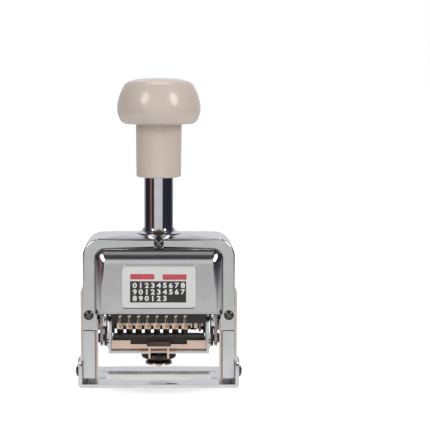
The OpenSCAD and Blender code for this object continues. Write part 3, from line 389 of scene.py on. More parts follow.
def gridFaces(rows, cols, closeCols=False):
    # quads between neighbouring rows and columns of a grid stored row after row
    r, c = np.meshgrid(np.arange(rows - 1), np.arange(cols if closeCols else cols - 1), indexing="ij")
    a = r * cols + c
    b = r * cols + (c + 1) % cols
    return np.stack([a, b, b + cols, a + cols], -1).reshape(-1, 4)


def newMesh(name, verts, faces, mat, smooth=True):
    mesh = bpy.data.meshes.new(name)
    mesh.from_pydata(np.asarray(verts).tolist(), [], [list(map(int, f)) for f in faces])
    mesh.update()
    mesh.polygons.foreach_set("use_smooth", [smooth] * len(mesh.polygons))
    mesh.materials.append(mat)
    obj = bpy.data.objects.new(name, mesh)
    scene.collection.objects.link(obj)
    return obj


# what a camera sees gets glow, less of it under the object, which paints a shadow there; what metal
# sees is plain near the object and the studio's bands far from it, times shine by distance
floorLook = dict(
    size=14.0, color=(0.80, 0.80, 0.80), rough=0.8, glow=0.68, shade=0.25, shadeFrom=0.020, shadeTo=0.048,
    plain=(0.95, 0.95, 0.94), bandsFrom=0.28, bandsTo=0.50, reach=1.0,
    shine=[(0.0, 1.0), (0.045, 1.0), (0.07, 0.82), (0.13, 0.80), (0.18, 0.68), (0.23, 0.76),
           (0.27, 0.62), (0.40, 0.65), (0.43, 0.90), (1.0, 1.0)])
half = floorLook["size"] / 2
floorMat = bpy.data.materials.new("paleFloor")
floor = newMesh("floor", [(-half, -half, 0), (half, -half, 0), (half, half, 0), (-half, half, 0)],
                [(0, 1, 2, 3)], floorMat, smooth=False)
floorMat.use_nodes = True
fn, flink = floorMat.node_tree.nodes, floorMat.node_tree.links.new
floorBase = fn["Principled BSDF"]
floorBase.inputs["Base Color"].default_value = (*floorLook["color"], 1)
floorBase.inputs["Roughness"].default_value = floorLook["rough"]
floorSpot = addNode(fn, "TexCoord")
reach = addNode(fn, "VectorMath", operation="LENGTH")
flink(floorSpot.outputs["Object"], reach.inputs[0])


def byReach(low, high, start, end):
    # a value that goes from low to high between two distances from the object's middle
    return addSpan(fn, flink, reach.outputs["Value"], start, end, low, high).outputs["Result"]


# painted shadow: the glow falls to shade between shadeFrom and shadeTo from the object's middle
glow = addNode(fn, "Emission")
flink(byReach(floorLook["shade"], floorLook["glow"], floorLook["shadeFrom"], floorLook["shadeTo"]),
      glow.inputs["Strength"])
addUp = addNode(fn, "AddShader")
sheen = addNode(fn, "Emission")
floorBands = bandRamp(fn, flink, floorSpot.outputs["Object"])[0]
blend = addNode(fn, "Mix", {"A": (*floorLook["plain"], 1)}, data_type="RGBA")
flink(byReach(0, 1, floorLook["bandsFrom"], floorLook["bandsTo"]), blend.inputs["Factor"])
flink(floorBands, blend.inputs["B"])
shine = addRamp(fn, [(place, (level,) * 3) for place, level in floorLook["shine"]])
flink(byReach(0, 1, 0, floorLook["reach"]), shine.inputs["Fac"])
flink(blend.outputs["Result"], sheen.inputs["Color"])
flink(shine.outputs["Color"], sheen.inputs["Strength"])
flink(floorBase.outputs[0], addUp.inputs[0])
flink(glow.outputs[0], addUp.inputs[1])
glossyPick(fn, flink, floorBase.outputs[0], sheen.outputs[0], addUp.outputs[0],
           fn["Material Output"].inputs["Surface"])
print("camera, lamps, studio and floor ready")

# offset thickens the strokes; lengths are in the font's own unit
figure = dict(offset=0.032, extrude=0.5, resolution=4, merge=0.0005)


def makeDigits():
    # the ten figures as solids: u across and v up about the middle, height 1, w from 0 to 1
    shapes = {}
    for k in range(10):
        curve = bpy.data.curves.new("figure", "FONT")
        curve.body = str(k)
        curve.align_x = "CENTER"
        curve.offset = figure["offset"]
        curve.extrude = figure["extrude"]
        curve.resolution_u = figure["resolution"]
        holder = bpy.data.objects.new("figure", curve)
        scene.collection.objects.link(holder)
        bpy.context.view_layer.update()
        mesh = bpy.data.meshes.new_from_object(holder.evaluated_get(bpy.context.evaluated_depsgraph_get()))
        closed = bmesh.new()
        closed.from_mesh(mesh)
        bmesh.ops.remove_doubles(closed, verts=closed.verts, dist=figure["merge"])
        bmesh.ops.recalc_face_normals(closed, faces=closed.faces)
        closed.to_mesh(mesh)
        closed.free()
        points = np.empty(len(mesh.vertices) * 3)
        mesh.vertices.foreach_get("co", points)
        points = points.reshape(-1, 3)
        low, high = points.min(0), points.max(0)
        points[:, :2] = (points[:, :2] - (low + high)[:2] / 2) / (high[1] - low[1])
        points[:, 2] += figure["extrude"]
        shapes[k] = (points, [tuple(poly.vertices) for poly in mesh.polygons])
        bpy.data.objects.remove(holder)
        bpy.data.curves.remove(curve)
        bpy.data.meshes.remove(mesh)
    return shapes


digitShape = makeDigits()


def joinShapes(shapes):
    # one list of vertices and faces out of several
    verts, faces, count = [], [], 0
    for v, f in shapes:
        verts.append(v)
        faces += [tuple(int(i) + count for i in face) for face in f]
        count += len(v)
    return np.concatenate(verts), faces


def setDigit(k, size, wide, spot, across, up, out, depth):
    # figure k of the given height laid at spot, along the directions across, up and out
    points, faces = digitShape[k]
    across, up, out = (np.array(d, float) for d in (across, up, out))
    laid = (np.array(spot, float) + points[:, :1] * size * wide * across + points[:, 1:2] * size * up
            + points[:, 2:] * depth * out)
    if np.dot(np.cross(across, up), out) < 0:
        faces = [tuple(reversed(face)) for face in faces]
    return laid, faces


def roundedSlab(wide, high, corner, depth, edge, steps=8, edgeSteps=5):
    # rounded rectangle in x and z, its front at y = -depth; rings run from the back over the
    # front edge, each ring the outline drawn in by the edge's quarter-round
    t = np.linspace(0, math.pi / 2, steps)
    outline, normal = [], []
    for sx, sz, start in ((1, 1, 0), (-1, 1, 1), (-1, -1, 2), (1, -1, 3)):
        a = t + start * math.pi / 2
        outline.append(np.stack([sx * (wide / 2 - corner) + corner * np.cos(a),
                                 sz * (high / 2 - corner) + corner * np.sin(a)], -1))
        normal.append(np.stack([np.cos(a), np.sin(a)], -1))
    outline, normal = np.concatenate(outline), np.concatenate(normal)
    q = np.linspace(0, math.pi / 2, edgeSteps)
    inset = np.concatenate([[0.0], edge * (1 - np.cos(q))])
    level = np.concatenate([[0.0], depth - edge + edge * np.sin(q)])
    rings = []
    for pull, rise in zip(inset, level):
        flat = outline - normal * pull
        rings.append(np.stack([flat[:, 0], np.full(len(flat), -rise), flat[:, 1]], -1))
    count = len(outline)
    verts = np.concatenate(rings)
    faces = [tuple(f) for f in gridFaces(len(rings), count, True)]
    faces.append(tuple(range((len(rings) - 1) * count, len(rings) * count)))
    faces.append(tuple(reversed(range(count))))
    return verts, faces


def moved(shape, x, y, z):
    return shape[0] + np.array([x, y, z]), shape[1]


def strip(x0, x1, z0, z1, y, thick=0.5, corner=0.2, edge=0.1):
    # upright slab between x0..x1 and z0..z1 whose front face is at y
    return moved(roundedSlab(x1 - x0, z1 - z0, corner, thick, edge), (x0 + x1) / 2, y + thick, (z0 + z1) / 2)


def boxMm(node):
    return (np.array(corner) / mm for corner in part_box(node))


def finishPiece(name, shape, mat, body, smooth=True):
    # lengths in the shape are in mm
    obj = newMesh(name, shape[0] * mm, shape[1], mat, smooth)
    if smooth:
        weighNormals(obj, "shade")
    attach(obj, body)
    return obj


printLook = dict(rough=(0.34, 0.46), fineSize=3000, bump=0.000003, dust=0.0)
extraLook = {
    "panelBlack": {**printLook, "color": (0.020, 0.019, 0.018), "alt": (0.030, 0.028, 0.027), "dust": 0.03},
    "figureWhite": {**printLook, "color": (0.78, 0.78, 0.76), "alt": (0.70, 0.70, 0.68)},
    "barRed": {**printLook, "color": (0.46, 0.055, 0.070), "alt": (0.55, 0.085, 0.10), "slowSize": 700},
    "typeSteel": dict(color=(0.42, 0.38, 0.35), alt=(0.22, 0.19, 0.17), metal=1, rough=(0.26, 0.4),
                      slowSize=700, fineSize=3200, bump=0.000010, dust=0.0),
    "markBlack": dict(color=(0.03, 0.025, 0.02), alt=(0.05, 0.04, 0.03), rough=(0.4, 0.5),
                      fineSize=3000, bump=0.000004, dust=0.0),
}
extra = {lookName: makeFinish(lookName, look) for lookName, look in extraLook.items()}

# the plate's print: a black panel with three rows of plain figures under two plain bars
plateLow, plateHigh = boxMm("name_plate")
plateX, plateZ = (plateLow[0], plateHigh[0]), (plateLow[2], plateHigh[2])
backing = dict(right=0.5, up=0.75, thick=0.22, corner=2.3, edge=0.15)
printed = dict(thick=0.05, edge=0.02, corner=0.15, barCorner=0.5, panel=(-12.2, 11.6, 37.1, 46.2),
               bars=[(-12.1, -1.9, 47.0, 49.3), (1.6, 11.8, 46.85, 49.15)],
               rows=[(44.45, "012345678"), (41.65, "901234567"), (38.85, "890123")], left=-10.2,
               pitch=2.55, size=2.25, wide=1.2, figureThick=0.03)
printFace = plateLow[1] - printed["thick"]
finishPiece("plate_backing", strip(
    plateX[0], plateX[1] + backing["right"], plateZ[0], plateZ[1] + backing["up"],
    plateHigh[1] - backing["thick"], backing["thick"], backing["corner"], backing["edge"]),
    finish["cover_chrome"], "frame")
finishPiece("plate_panel", strip(
    *printed["panel"], printFace, printed["thick"], printed["corner"], printed["edge"]),
    extra["panelBlack"], "frame")
finishPiece("plate_bars", joinShapes([
    strip(*bar, printFace, printed["thick"], printed["barCorner"], printed["edge"])
    for bar in printed["bars"]]), extra["barRed"], "frame")
finishPiece("plate_figures", joinShapes([
    setDigit(int(c), printed["size"], printed["wide"],
             (printed["left"] + i * printed["pitch"], printFace, z),
             (1, 0, 0), (0, 0, 1), (0, -1, 0), printed["figureThick"])
    for z, row in printed["rows"] for i, c in enumerate(row)]),
    extra["figureWhite"], "frame", smooth=False)
print("plate printed")

# type on the number wheels: ten raised figures round each, mirrored as seen from outside
wheelType = dict(axisZ=28.5, flat=7.95, out=0.36, size=3.9, wide=0.78, shown=[0, 0, 0, 0, 0, 0, 0, 1])
wheelX = []
for number, shown in enumerate(wheelType["shown"], 1):
    low, high = boxMm("number_wheel_%d" % number)
    wheelX.append((low[0] + high[0]) / 2)
    ring = []
    for k in range(10):
        a = 2 * math.pi * k / 10
        out = (0, -math.sin(a), -math.cos(a))
        up = (0, math.cos(a), -math.sin(a))
        spot = (wheelX[-1], out[1] * wheelType["flat"], wheelType["axisZ"] + out[2] * wheelType["flat"])
        ring.append(setDigit((shown + k) % 10, wheelType["size"], wheelType["wide"], spot, (1, 0, 0), up, out,
                             wheelType["out"]))
    finishPiece("wheelType_%d" % number, joinShapes(ring), extra["typeSteel"], "wheel_%d" % number,
                smooth=False)
print("type set on the wheels")

# the soft pad in the tray: a crowned closed form whose sides pull in between its corners
padLow, padHigh = boxMm("ink_pad")
# power squares the outline, ease crowds the rings to the rim, sag and sagPower lower the rim
pad = dict(around=160, across=30, crown=0.12, pull=0.25, edge=0.55, power=12, middle=0.02, ease=0.6,
           sag=0.4, sagPower=10, edgeSteps=4)


def padForm():
    # outline: a rectangle with round corners and sides drawn in by pull at their middles; rings
    # run from the top's middle out, over a quarter-round edge, down and in to the bottom's middle
    halfX, halfY = (padHigh - padLow)[:2] / 2
    tall = padHigh[2] - padLow[2]
    a = np.linspace(0, 2 * math.pi, pad["around"], endpoint=False)
    x = halfX * np.sign(np.cos(a)) * np.abs(np.cos(a)) ** (2 / pad["power"])
    y = halfY * np.sign(np.sin(a)) * np.abs(np.sin(a)) ** (2 / pad["power"])
    x = x - np.sign(x) * pad["pull"] * np.cos(math.pi / 2 * y / halfY) ** 2
    y = y - np.sign(y) * pad["pull"] * np.cos(math.pi / 2 * x / halfX) ** 2
    half = pad["across"] // 2
    q = np.linspace(0, math.pi / 2, pad["edgeSteps"])
    inward = np.concatenate([np.linspace(pad["middle"], 1, half) ** pad["ease"], np.ones(len(q)),
                             np.linspace(1, pad["middle"], half // 2)])
    high = np.concatenate([
        tall - pad["edge"] * (np.linspace(0, 1, half) ** pad["sagPower"]) * pad["sag"],
        tall - pad["edge"] + pad["edge"] * (1 - pad["sag"]) * np.cos(q), np.zeros(half // 2)])
    rings = [np.stack([x * s, y * s, np.full(len(a), h)], -1) for s, h in zip(inward, high)]
    verts = np.concatenate(rings)
    top = verts[:, 2] > tall / 2
    verts[top, 2] += pad["crown"] * (1 - (verts[top, 0] / halfX) ** 2) * (1 - (verts[top, 1] / halfY) ** 2)
    count = len(a)
    faces = [tuple(reversed(f)) for f in gridFaces(len(rings), count, True).tolist()]
    faces.append(tuple(range(count)))
    faces.append(tuple(reversed(range((len(rings) - 1) * count, len(rings) * count))))
    verts += np.array([(padLow[0] + padHigh[0]) / 2, (padLow[1] + padHigh[1]) / 2, padLow[2]])
    return verts, faces


inkPad = finishPiece("inkPad", padForm(), finish["ink_felt"], "pad_carriage")
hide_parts("ink_pad")
print("ink pad laid in the tray")

# figures on the dial at the back
dialLow, dialHigh = boxMm("selector_dial")
dialMid = (dialLow + dialHigh) / 2
dial = dict(figures="01234568", ring=6.4, size=1.7, wide=0.95, thick=0.06)
dialWork = []
for k, c in enumerate(dial["figures"]):
    a = 2 * math.pi * k / len(dial["figures"])
    across, up = (-math.cos(a), 0, -math.sin(a)), (-math.sin(a), 0, math.cos(a))
    spot = np.array([dialMid[0], dialHigh[1], dialMid[2]]) + np.array(up) * dial["ring"]
    dialWork.append(setDigit(int(c), dial["size"], dial["wide"], spot, across, up, (0, 1, 0), dial["thick"]))
finishPiece("dial_figures", joinShapes(dialWork), extra["markBlack"], "frame",
            smooth=False)
print("dial marked")

# rounding of the shell's front and rear edges: outer and inner are its widths in mm, spare makes
# the strips a little wider, sharp and flat are angles in degrees, other lengths are in metres
shellEdge = dict(outer=0.75, outerSegments=4, inner=0.24, innerSegments=2, spare=1.03, near=0.000002,
                 foot=0.00001, slice=1e-7, level=0.5, shortest=0.5, middle=(0, 0.040), least=0.012,
                 sharp=25, flat=0.04, hole=0.0019, holeIn=0.002)
shellLow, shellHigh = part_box("frame_shell")
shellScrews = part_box("front_screws")
shellHoles = [(turn * (shellScrews[1][0] - shellEdge["holeIn"]), shellScrews[0][2] + shellEdge["holeIn"])
              for turn in (-1, 1)]


def onPlane(item, plane):
    # whether all of an edge or a face lies at y = plane
    return all(abs(v.co.y - plane) <= shellEdge["near"] for v in item.verts)


def edgeMiddle(edge):
    return (edge.verts[0].co + edge.verts[1].co) / 2


def rimWall(edge, plane):
    # the normal of the wall that meets the flat face at y = plane along this edge
    if not onPlane(edge, plane):
        return None
    walls = [f.normal for f in edge.link_faces if abs(f.normal.y) < shellEdge["level"]]
    return walls[0] if len(walls) == 1 else None


def onOuterRim(edge, plane):
    wall, mid = rimWall(edge, plane), edgeMiddle(edge)
    return wall is not None and ((mid.x - shellEdge["middle"][0]) * wall.x
                                 + (mid.z - shellEdge["middle"][1]) * wall.z) > shellEdge["least"]


def onInnerRim(edge, plane):
    # the leg screws' holes and the feet keep their sharp edges
    wall, mid = rimWall(edge, plane), edgeMiddle(edge)
    foot = all(abs(v.co.z - shellLow[2]) < shellEdge["foot"] for v in edge.verts)
    hole = any(math.hypot(mid.x - x, mid.z - z) < shellEdge["hole"] for x, z in shellHoles)
    return wall is not None and not foot and not hole and not onOuterRim(edge, plane)


def rimEdges(work, plane, onRim):
    return [e for e in work.edges if len(e.link_faces) == 2 and onRim(e, plane)]


def layStrip(work, plane, width, onRim):
    # a strip of that width in the flat face at y = plane, along its rim, so that the rounding
    # has clean quads to run in
    rim = rimEdges(work, plane, onRim)
    wallOf = {edge: [f for f in edge.link_faces if not onPlane(f, plane)][0] for edge in rim}
    out = {}
    for edge in rim:
        for v in edge.verts:
            out.setdefault(v, []).append(wallOf[edge].normal.copy())
    inner = {}
    for v, normals in out.items():
        way = sum(normals[1:], normals[0])
        way.y = 0
        way.normalize()
        reach = width / max(shellEdge["shortest"], way.dot(normals[0]))
        inner[v] = work.verts.new(v.co - way * reach)
    ends = {v for v, normals in out.items() if len(normals) == 1}
    quads = []
    for edge in rim:
        loop = [l for l in wallOf[edge].loops if l.edge == edge][0]
        a, b = loop.vert, loop.link_loop_next.vert
        quads.append((b, a, inner[a], inner[b]))
    # the flat faces move to the strip's inner side, and walls at a rim's end take its new corner
    swaps = []
    work.faces.index_update()
    for face in sorted({f for v in out for f in v.link_faces}, key=lambda f: f.index):
        verts = list(face.verts)
        if onPlane(face, plane):
            swaps.append((face, [inner.get(v, v) for v in verts]))
            continue
        ring = []
        for k, v in enumerate(verts):
            after = verts[(k + 1) % len(verts)]
            ring.append(v)
            onFlat = any(onPlane(f, plane) for f in work.edges.get((v, after)).link_faces)
            if v in ends and after not in out and onFlat:
                ring.append(inner[v])
            if after in ends and v not in out and onFlat:
                ring.append(inner[after])
        if len(ring) > len(verts):
            swaps.append((face, ring))
    bmesh.ops.delete(work, geom=[face for face, ring in swaps], context="FACES_ONLY")
    for ring in [ring for face, ring in swaps] + quads:
        work.faces.new(ring)
    bmesh.ops.delete(work, geom=[e for e in work.edges if not e.link_faces], context="EDGES")


def roundShell():
    # a merged copy of the shell with the edges of its front and rear faces rounded
    work = bmesh.new()
    work.from_mesh(cadNodes["frame_shell"].data)
    bmesh.ops.remove_doubles(work, verts=work.verts, dist=shellEdge["near"])
    work.normal_update()
    walls = [e for e in work.edges if len(e.link_faces) == 2
             and all(abs(f.normal.y) < shellEdge["level"] for f in e.link_faces)
             and e.link_faces[0].normal.angle(e.link_faces[1].normal) < math.radians(shellEdge["flat"])]
    bmesh.ops.dissolve_edges(work, edges=walls, use_verts=False)
    for plane, inward in ((shellLow[1], 1), (shellHigh[1], -1)):
        reach = shellEdge["outer"] * mm * shellEdge["spare"]
        bmesh.ops.bisect_plane(work, geom=work.verts[:] + work.edges[:] + work.faces[:],
                               dist=shellEdge["slice"], plane_co=(0, plane + inward * reach, 0),
                               plane_no=(0, 1, 0))
        for key, onRim in (("outer", onOuterRim), ("inner", onInnerRim)):
            work.normal_update()
            layStrip(work, plane, shellEdge[key] * mm * shellEdge["spare"], onRim)
        for key, onRim in (("outer", onOuterRim), ("inner", onInnerRim)):
            work.normal_update()
            rim = rimEdges(work, plane, onRim)
            bmesh.ops.bevel(work, geom=rim, offset=shellEdge[key] * mm, offset_type="OFFSET",
                            segments=shellEdge[key + "Segments"], profile=0.5, affect="EDGES",
                            clamp_overlap=False)
            print("shell", key, "edges rounded:", len(rim))
    work.normal_update()
    sharp = math.radians(shellEdge["sharp"])
    for edge in work.edges:
        edge.smooth = len(edge.link_faces) == 2 and edge.calc_face_angle(0) < sharp
    print("shell copy: edges without two faces:", sum(len(e.link_faces) != 2 for e in work.edges))
    mesh = bpy.data.meshes.new("shellSkin")
    work.to_mesh(mesh)
    work.free()
    mesh.polygons.foreach_set("use_smooth", [True] * len(mesh.polygons))
    mesh.materials.clear()
    mesh.materials.append(finish[nodeSlot["frame_shell"]])
    obj = bpy.data.objects.new("shellSkin", mesh)
    scene.collection.objects.link(obj)
    weighNormals(obj, "faceNormals", keepSharp=True)
    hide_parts("frame_shell")
    return obj


shellSkin = roundShell()
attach(shellSkin, "frame")
print("shell edges rounded")


def lathe(profile, axis, spot, around=28):
    # a profile of radius and height, lowest first, carried round the y or z axis through spot
    profile = np.array(profile, float)
    a = np.linspace(0, 2 * math.pi, around, endpoint=False)
    r, h = (np.repeat(profile[:, k:k + 1], around, axis=1) for k in (0, 1))
    c, t = r * np.cos(a), r * np.sin(a)
    verts = np.stack((c, t, h) if axis == "z" else (t, h, c), -1).reshape(-1, 3) + np.array(spot, float)
    faces = [tuple(f) for f in gridFaces(len(profile), around, True)]
    if profile[0, 0] > 0:
        faces.append(tuple(reversed(range(around))))
        faces.append(tuple(range((len(profile) - 1) * around, len(profile) * around)))
    return verts, faces


def flatRing(inner, outer, height, axis, spot, around=28, edge=0.12):
    # a flat ring: its section runs from the bore's foot outwards, up and back down the bore; the
    # last row lies on the first, which keeps that corner crisp, and lathe's two caps are left out
    section = [(inner, 0), (outer - edge, 0), (outer, edge), (outer, height - edge), (outer - edge, height),
               (inner, height), (inner, 0)]
    verts, faces = lathe(section, axis, spot, around)
    return verts, faces[:-2]


def frontStud(radius, height, x, y, z, around=24, dome=0.35, steps=6, least=0.01):
    # a round head that looks to the front, its foot at y: a straight side, then a dome of the
    # given share of the height, closed by a small flat
    profile = [(radius, 0)] + [(max(radius * math.cos(t), least), height * (1 - dome + dome * math.sin(t)))
                               for t in np.linspace(0, math.pi / 2, steps)]
    verts, faces = lathe(profile, "y", (0, 0, 0), around)
    return moved((verts * np.array([1, -1, 1]), [tuple(reversed(f)) for f in faces]), x, y, z)


def mirrored(shape):
    return shape[0] * np.array([-1, 1, 1]), [tuple(reversed(f)) for f in shape[1]]


def bothSides(shapes):
    return joinShapes(list(shapes) + [mirrored(shape) for shape in shapes])


sideLook = {
    "brownSteel": dict(color=(0.16, 0.115, 0.10), alt=(0.24, 0.175, 0.15), metal=1, rough=(0.24, 0.38),
                       slowSize=500, fineSize=2800, bump=0.000008, dust=0.05),
    "paleBrass": dict(color=(0.74, 0.60, 0.50), alt=(0.62, 0.49, 0.40), metal=1, rough=(0.2, 0.32),
                      slowSize=600, fineSize=3000, bump=0.000008, dust=0.04),
    "brightChrome": dict(color=(0.80, 0.80, 0.84), alt=(0.70, 0.70, 0.74), metal=1, rough=(0.08, 0.16),
                         fineSize=2600, bump=0.000004, dust=0.02),
    "linerBrown": dict(color=(0.34, 0.26, 0.23), alt=(0.44, 0.35, 0.31), metal=1, rough=(0.26, 0.38),
                       slowSize=500, fineSize=2800, bump=0.000008, dust=0.04),
    "paintedShadeAndGlintSteel": dict(color=(0.30, 0.29, 0.285), alt=(0.22, 0.215, 0.21), metal=1, rough=(0.22, 0.34),
                       fineSize=2600, bump=0.000006, dust=0.04),
    "nearBlack": dict(color=(0.018, 0.017, 0.017), alt=(0.034, 0.032, 0.031), metal=0.4, rough=(0.24, 0.36),
                      fineSize=2800, coat=0.3, dust=0.04),
}
side = {lookName: makeFinish(lookName, look) for lookName, look in sideLook.items()}

# bits of the feed and the repeat lever seen right of the last wheel, on the head; each slab is
# left, right, foot, top, front, thickness and corner
repeat = dict(lever=(17.15, 18.25, 22.5, 31.6, -7.6, 0.9, 0.3),
              blocks=[(15.25, 16.75, 24.0, 27.6, -7.7, 1.2, 0.2), (13.75, 14.5, 24.2, 27.2, -7.2, 1.0, 0.25),
                      (18.45, 19.1, 24.9, 27.0, -7.6, 0.7, 0.25)])
finishPiece("repeat_lever", strip(*repeat["lever"]), side["brownSteel"], "head")
finishPiece("repeat_blocks", joinShapes([strip(*slab) for slab in repeat["blocks"]]), side["paleBrass"],
            "head")
print("lever and blocks made")

# the mechanism beside the pad's arms: ring, links and rivets on the hangers, on both sides
hangLow, hangHigh = boxMm("right_hanger")
hangFront, hangIn = hangLow[1], hangLow[0]
links = dict(ring=(0.55, 1.15, 0.5), ringX=23.68, ringZ=27.5, ringOff=0.35, overlap=0.3,
             # left, foot, top, off, thickness and corner
             arms=[(23.0, 22.9, 25.1, 0.3, 0.6, 0.35), (24.0, 24.8, 30.6, 0.1, 0.5, 0.2)],
             # radius, height, x, off
             rivets=[(0.55, 0.45, 23.3, 0.25), (0.5, 0.5, hangHigh[0] + 0.4, 0)], rivetZ=25.6)
linkRing = flatRing(*links["ring"], "y", (links["ringX"], hangFront - links["ringOff"], links["ringZ"]))
linkArms = [strip(left, hangIn + links["overlap"], foot, top, hangFront - off, thick, corner)
            for left, foot, top, off, thick, corner in links["arms"]]
finishPiece("link_rings", bothSides([linkRing] + linkArms), side["brightChrome"], "frame")
finishPiece("link_rivets", bothSides([
    frontStud(radius, height, x, hangFront - off, links["rivetZ"])
    for radius, height, x, off in links["rivets"]]), side["brightChrome"], "frame")
print("links made")

# the cover's folded lower edge, and a painted shadow under the plate; round is corner and edge
coverLow, coverHigh = boxMm("front_cover")
fold = dict(side=1.2, foot=0.02, top=0.5, proud=0.12, thick=0.5, round=(0.2, 0.2))
plateShadow = dict(short=0.7, foot=0.42, top=0.1, proud=0.03, thick=0.2, round=(0.05, 0.02))
# the fold is a real edge; its chrome, brighter than the cover's, is a painted highlight along it
finishPiece("cover_fold", strip(
    coverLow[0] + fold["side"], coverHigh[0] - fold["side"], coverLow[2] + fold["foot"],
    coverLow[2] + fold["top"], coverLow[1] - fold["proud"], fold["thick"], *fold["round"]),
    side["brightChrome"], "frame")
# painted shadow: a near-black strip along the foot of the raised plate
finishPiece("plate_shadow_line", strip(
    plateX[0] + plateShadow["short"], plateX[1] - plateShadow["short"], plateZ[0] - plateShadow["foot"],
    plateZ[0] + plateShadow["top"], coverLow[1] - plateShadow["proud"], plateShadow["thick"], *plateShadow["round"]),
    side["nearBlack"], "frame")

# the posts' front flanges, and the brown channel sides along their inner edges
postLow = list(boxMm("right_post"))[0]
shellFoot = shellLow[2] / mm
# each is left, right, how far behind the post's front its own front is, depth, corner and edge
flanges = [(27.42, 32.38, -0.1, 0.35, 0.12, 0.08), (31.45, 32.38, -0.05, 1.85, 0.1, 0.05)]
liners = dict(pale=(25.95, 26.80, 0.85, 1.4, 0.1, 0.06), brown=(26.72, 27.44, 0.75, 1.4, 0.1, 0.06))
postSpan = dict(flange=(3.32, shellFoot), liner=(1.9, 29.0))


def upright(span, left, right, back, deep, corner, edge):
    return strip(left, right, *postSpan[span], postLow[1] + back, deep, corner, edge)


finishPiece("post_faces", bothSides([upright("flange", *flange) for flange in flanges]),
            finish["post_metal"], "frame")
finishPiece("post_liners", bothSides([upright("liner", *liners["pale"])]), finish["bar_metal"], "frame")
finishPiece("post_liner_edges", bothSides([upright("liner", *liners["brown"])]), side["linerBrown"], "frame")
print("post flanges and liners made")


def prism(outline, low, high):
    # a flat outline in x and y, anticlockwise from above, carried up from low to high
    outline = np.array(outline, float)
    n = len(outline)
    verts = np.concatenate([np.column_stack([outline, np.full(n, z)]) for z in (low, high)])
    faces = [tuple(reversed(range(n))), tuple(range(n, 2 * n))]
    faces += [(i, (i + 1) % n, n + (i + 1) % n, n + i) for i in range(n)]
    return verts, faces


# painted shade: dark floors in the base's slots and notch, and a darker strip on its window's rear wall
baseLow = list(boxMm("base_plate"))[0]
baseCut = dict(top=1.6, window=(45.2, 17.3), slotX=24.0, slotWide=2.9, slotDeep=0.86, slotIn=(3, 1),
               notchX=5.3, notchR=2.95, notchSteps=24, wall=0.52, sunk=0.45, bottom=0.12)
shadeWall = dict(short=0.3, foot=0.15, below=0.08, off=0.08, thick=0.12, round=(0.05, 0.03))
halfLong, halfDeep = baseCut["window"][0] / 2, baseCut["window"][1] / 2
floorSpan = (baseCut["bottom"], baseCut["top"] - baseCut["sunk"])
slotShades = []
for turn in (-1, 1):
    for y in (baseCut["slotIn"][0] - halfDeep, halfDeep - baseCut["slotIn"][1]):
        slotShades.append(prism([
            (turn * baseCut["slotX"] + u * baseCut["slotWide"] / 2, y + v * baseCut["slotDeep"] / 2)
            for u, v in ((-1, -1), (1, -1), (1, 1), (-1, 1))], *floorSpan))
lean = math.asin(baseCut["wall"] / baseCut["notchR"])
slotShades.append(prism([
    (baseCut["notchX"] + baseCut["notchR"] * math.cos(t), baseLow[1] + baseCut["notchR"] * math.sin(t))
    for t in np.linspace(lean, math.pi - lean, baseCut["notchSteps"])], *floorSpan))
finishPiece("base_slot_shades", joinShapes(slotShades), side["nearBlack"], "frame",
            smooth=False)
# painted shade: a darker strip along the window's rear wall
finishPiece("window_shade", strip(
    shadeWall["short"] - halfLong, halfLong - shadeWall["short"], shadeWall["foot"],
    baseCut["top"] - shadeWall["below"], halfDeep - shadeWall["off"], shadeWall["thick"],
    *shadeWall["round"]), side["paintedShadeAndGlintSteel"], "frame")
print("base cuts shaded")

# crosses in the front screws' heads, each turned its own way; each cross is the real recess, and its
# grey, lighter than the black head, is a painted highlight on the recess walls
screwLow, screwHigh = boxMm("front_screws")
screwHead = dict(radius=2.1, arm=1.15, width=0.5, face=0.02, thick=0.5, round=(0.1, 0.05))
screwX = screwHigh[0] - screwHead["radius"]
legZ, topZ = screwLow[2] + screwHead["radius"], screwHigh[2] - screwHead["radius"]
crosses = [(-screwX, legZ, 22), (screwX, legZ, 65), (0, topZ, 48)]
crossArms = []
for x, z, turn in crosses:
    for angle in (turn, turn + 90):
        verts, faces = strip(-screwHead["arm"], screwHead["arm"], -screwHead["width"] / 2,
                             screwHead["width"] / 2, 0, screwHead["thick"], *screwHead["round"])
        c, t = math.cos(math.radians(angle)), math.sin(math.radians(angle))
        crossArms.append((np.column_stack([
            verts[:, 0] * c - verts[:, 2] * t + x, verts[:, 1] + screwLow[1] - screwHead["face"],
            verts[:, 0] * t + verts[:, 2] * c + z]), faces))
finishPiece("screw_crosses", joinShapes(crossArms), side["paintedShadeAndGlintSteel"], "frame")
print("screw crosses made")

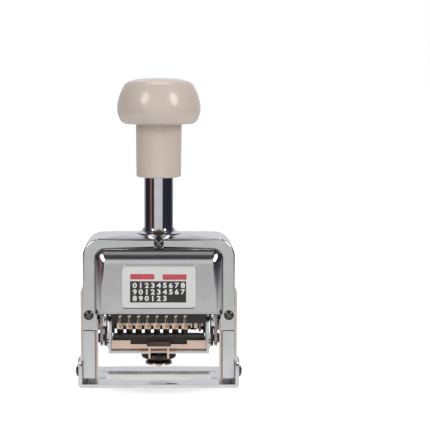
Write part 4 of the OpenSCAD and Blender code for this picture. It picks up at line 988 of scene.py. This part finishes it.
# lips that narrow the guard's slots, and the bright tips of its fingers; gap is half a slot's width
guardLow, guardHigh = boxMm("guard_bar")
lip = dict(gap=(0.27, 0.27, 0.27, 0.15, 0.08, 0.15, 0.27, 0.27), out=0.72, foot=0.15, top=0.05, thick=0.2,
           proud=0.06, round=(0.04, 0.02))
tip = dict(z=30.1, radius=0.36, least=0.45, byGap=2, height=0.3, sunk=0.1, around=14)
finishPiece("guard_lips", joinShapes([
    strip(*sorted((x + turn * gap, x + turn * lip["out"])), guardLow[2] + lip["foot"],
          guardHigh[2] - lip["top"], guardLow[1] - lip["proud"], lip["thick"], *lip["round"])
    for x, gap in zip(wheelX, lip["gap"]) for turn in (-1, 1)]), finish["black_steel"], "head")
finishPiece("finger_tips", joinShapes([
    frontStud(tip["radius"] * (tip["least"] + tip["byGap"] * gap), tip["height"], x,
              guardLow[1] + tip["sunk"], tip["z"], tip["around"])
    for x, gap in zip(wheelX, lip["gap"])]), side["paleBrass"], "head")
print("guard lips made")

# the filled seam between the knob's cap and ring
capLow, capHigh = boxMm("knob_cap")
seam = dict(inner=1.5, sunk=0.13, below=0.42, height=0.84, around=96)
finishPiece("knob_seam", flatRing(
    capHigh[0] - seam["inner"], capHigh[0] - seam["sunk"], seam["height"], "z",
    (0, 0, capLow[2] - seam["below"]), seam["around"]), finish["beige_plastic"], "head")
print("knob seam filled")

# copper edge on the spool's foot
spoolLow, spoolHigh = boxMm("pad_spool")
spoolMid = (spoolLow + spoolHigh) / 2
spoolRim = dict(inner=5.1, outer=5.93, height=0.8, below=0.45, around=64)
finishPiece("spool_rim", flatRing(
    spoolRim["inner"], spoolRim["outer"], spoolRim["height"], "z",
    (spoolMid[0], spoolMid[1], spoolLow[2] - spoolRim["below"]), spoolRim["around"]),
    finish["copper_tray"], "pad_carriage")

# two dark discs on each flange of the pad's frame, painted shade in its holes
frameLow = list(boxMm("pad_frame"))[0]
frameHoleShade = dict(radius=0.42, height=0.2, x=22.0, z=(19.0, 17.7))
finishPiece("frame_hole_shades", bothSides([
    frontStud(frameHoleShade["radius"], frameHoleShade["height"], frameHoleShade["x"], frameLow[1], z)
    for z in frameHoleShade["z"]]), side["nearBlack"], "pad_carriage")
print("spool and studs made")
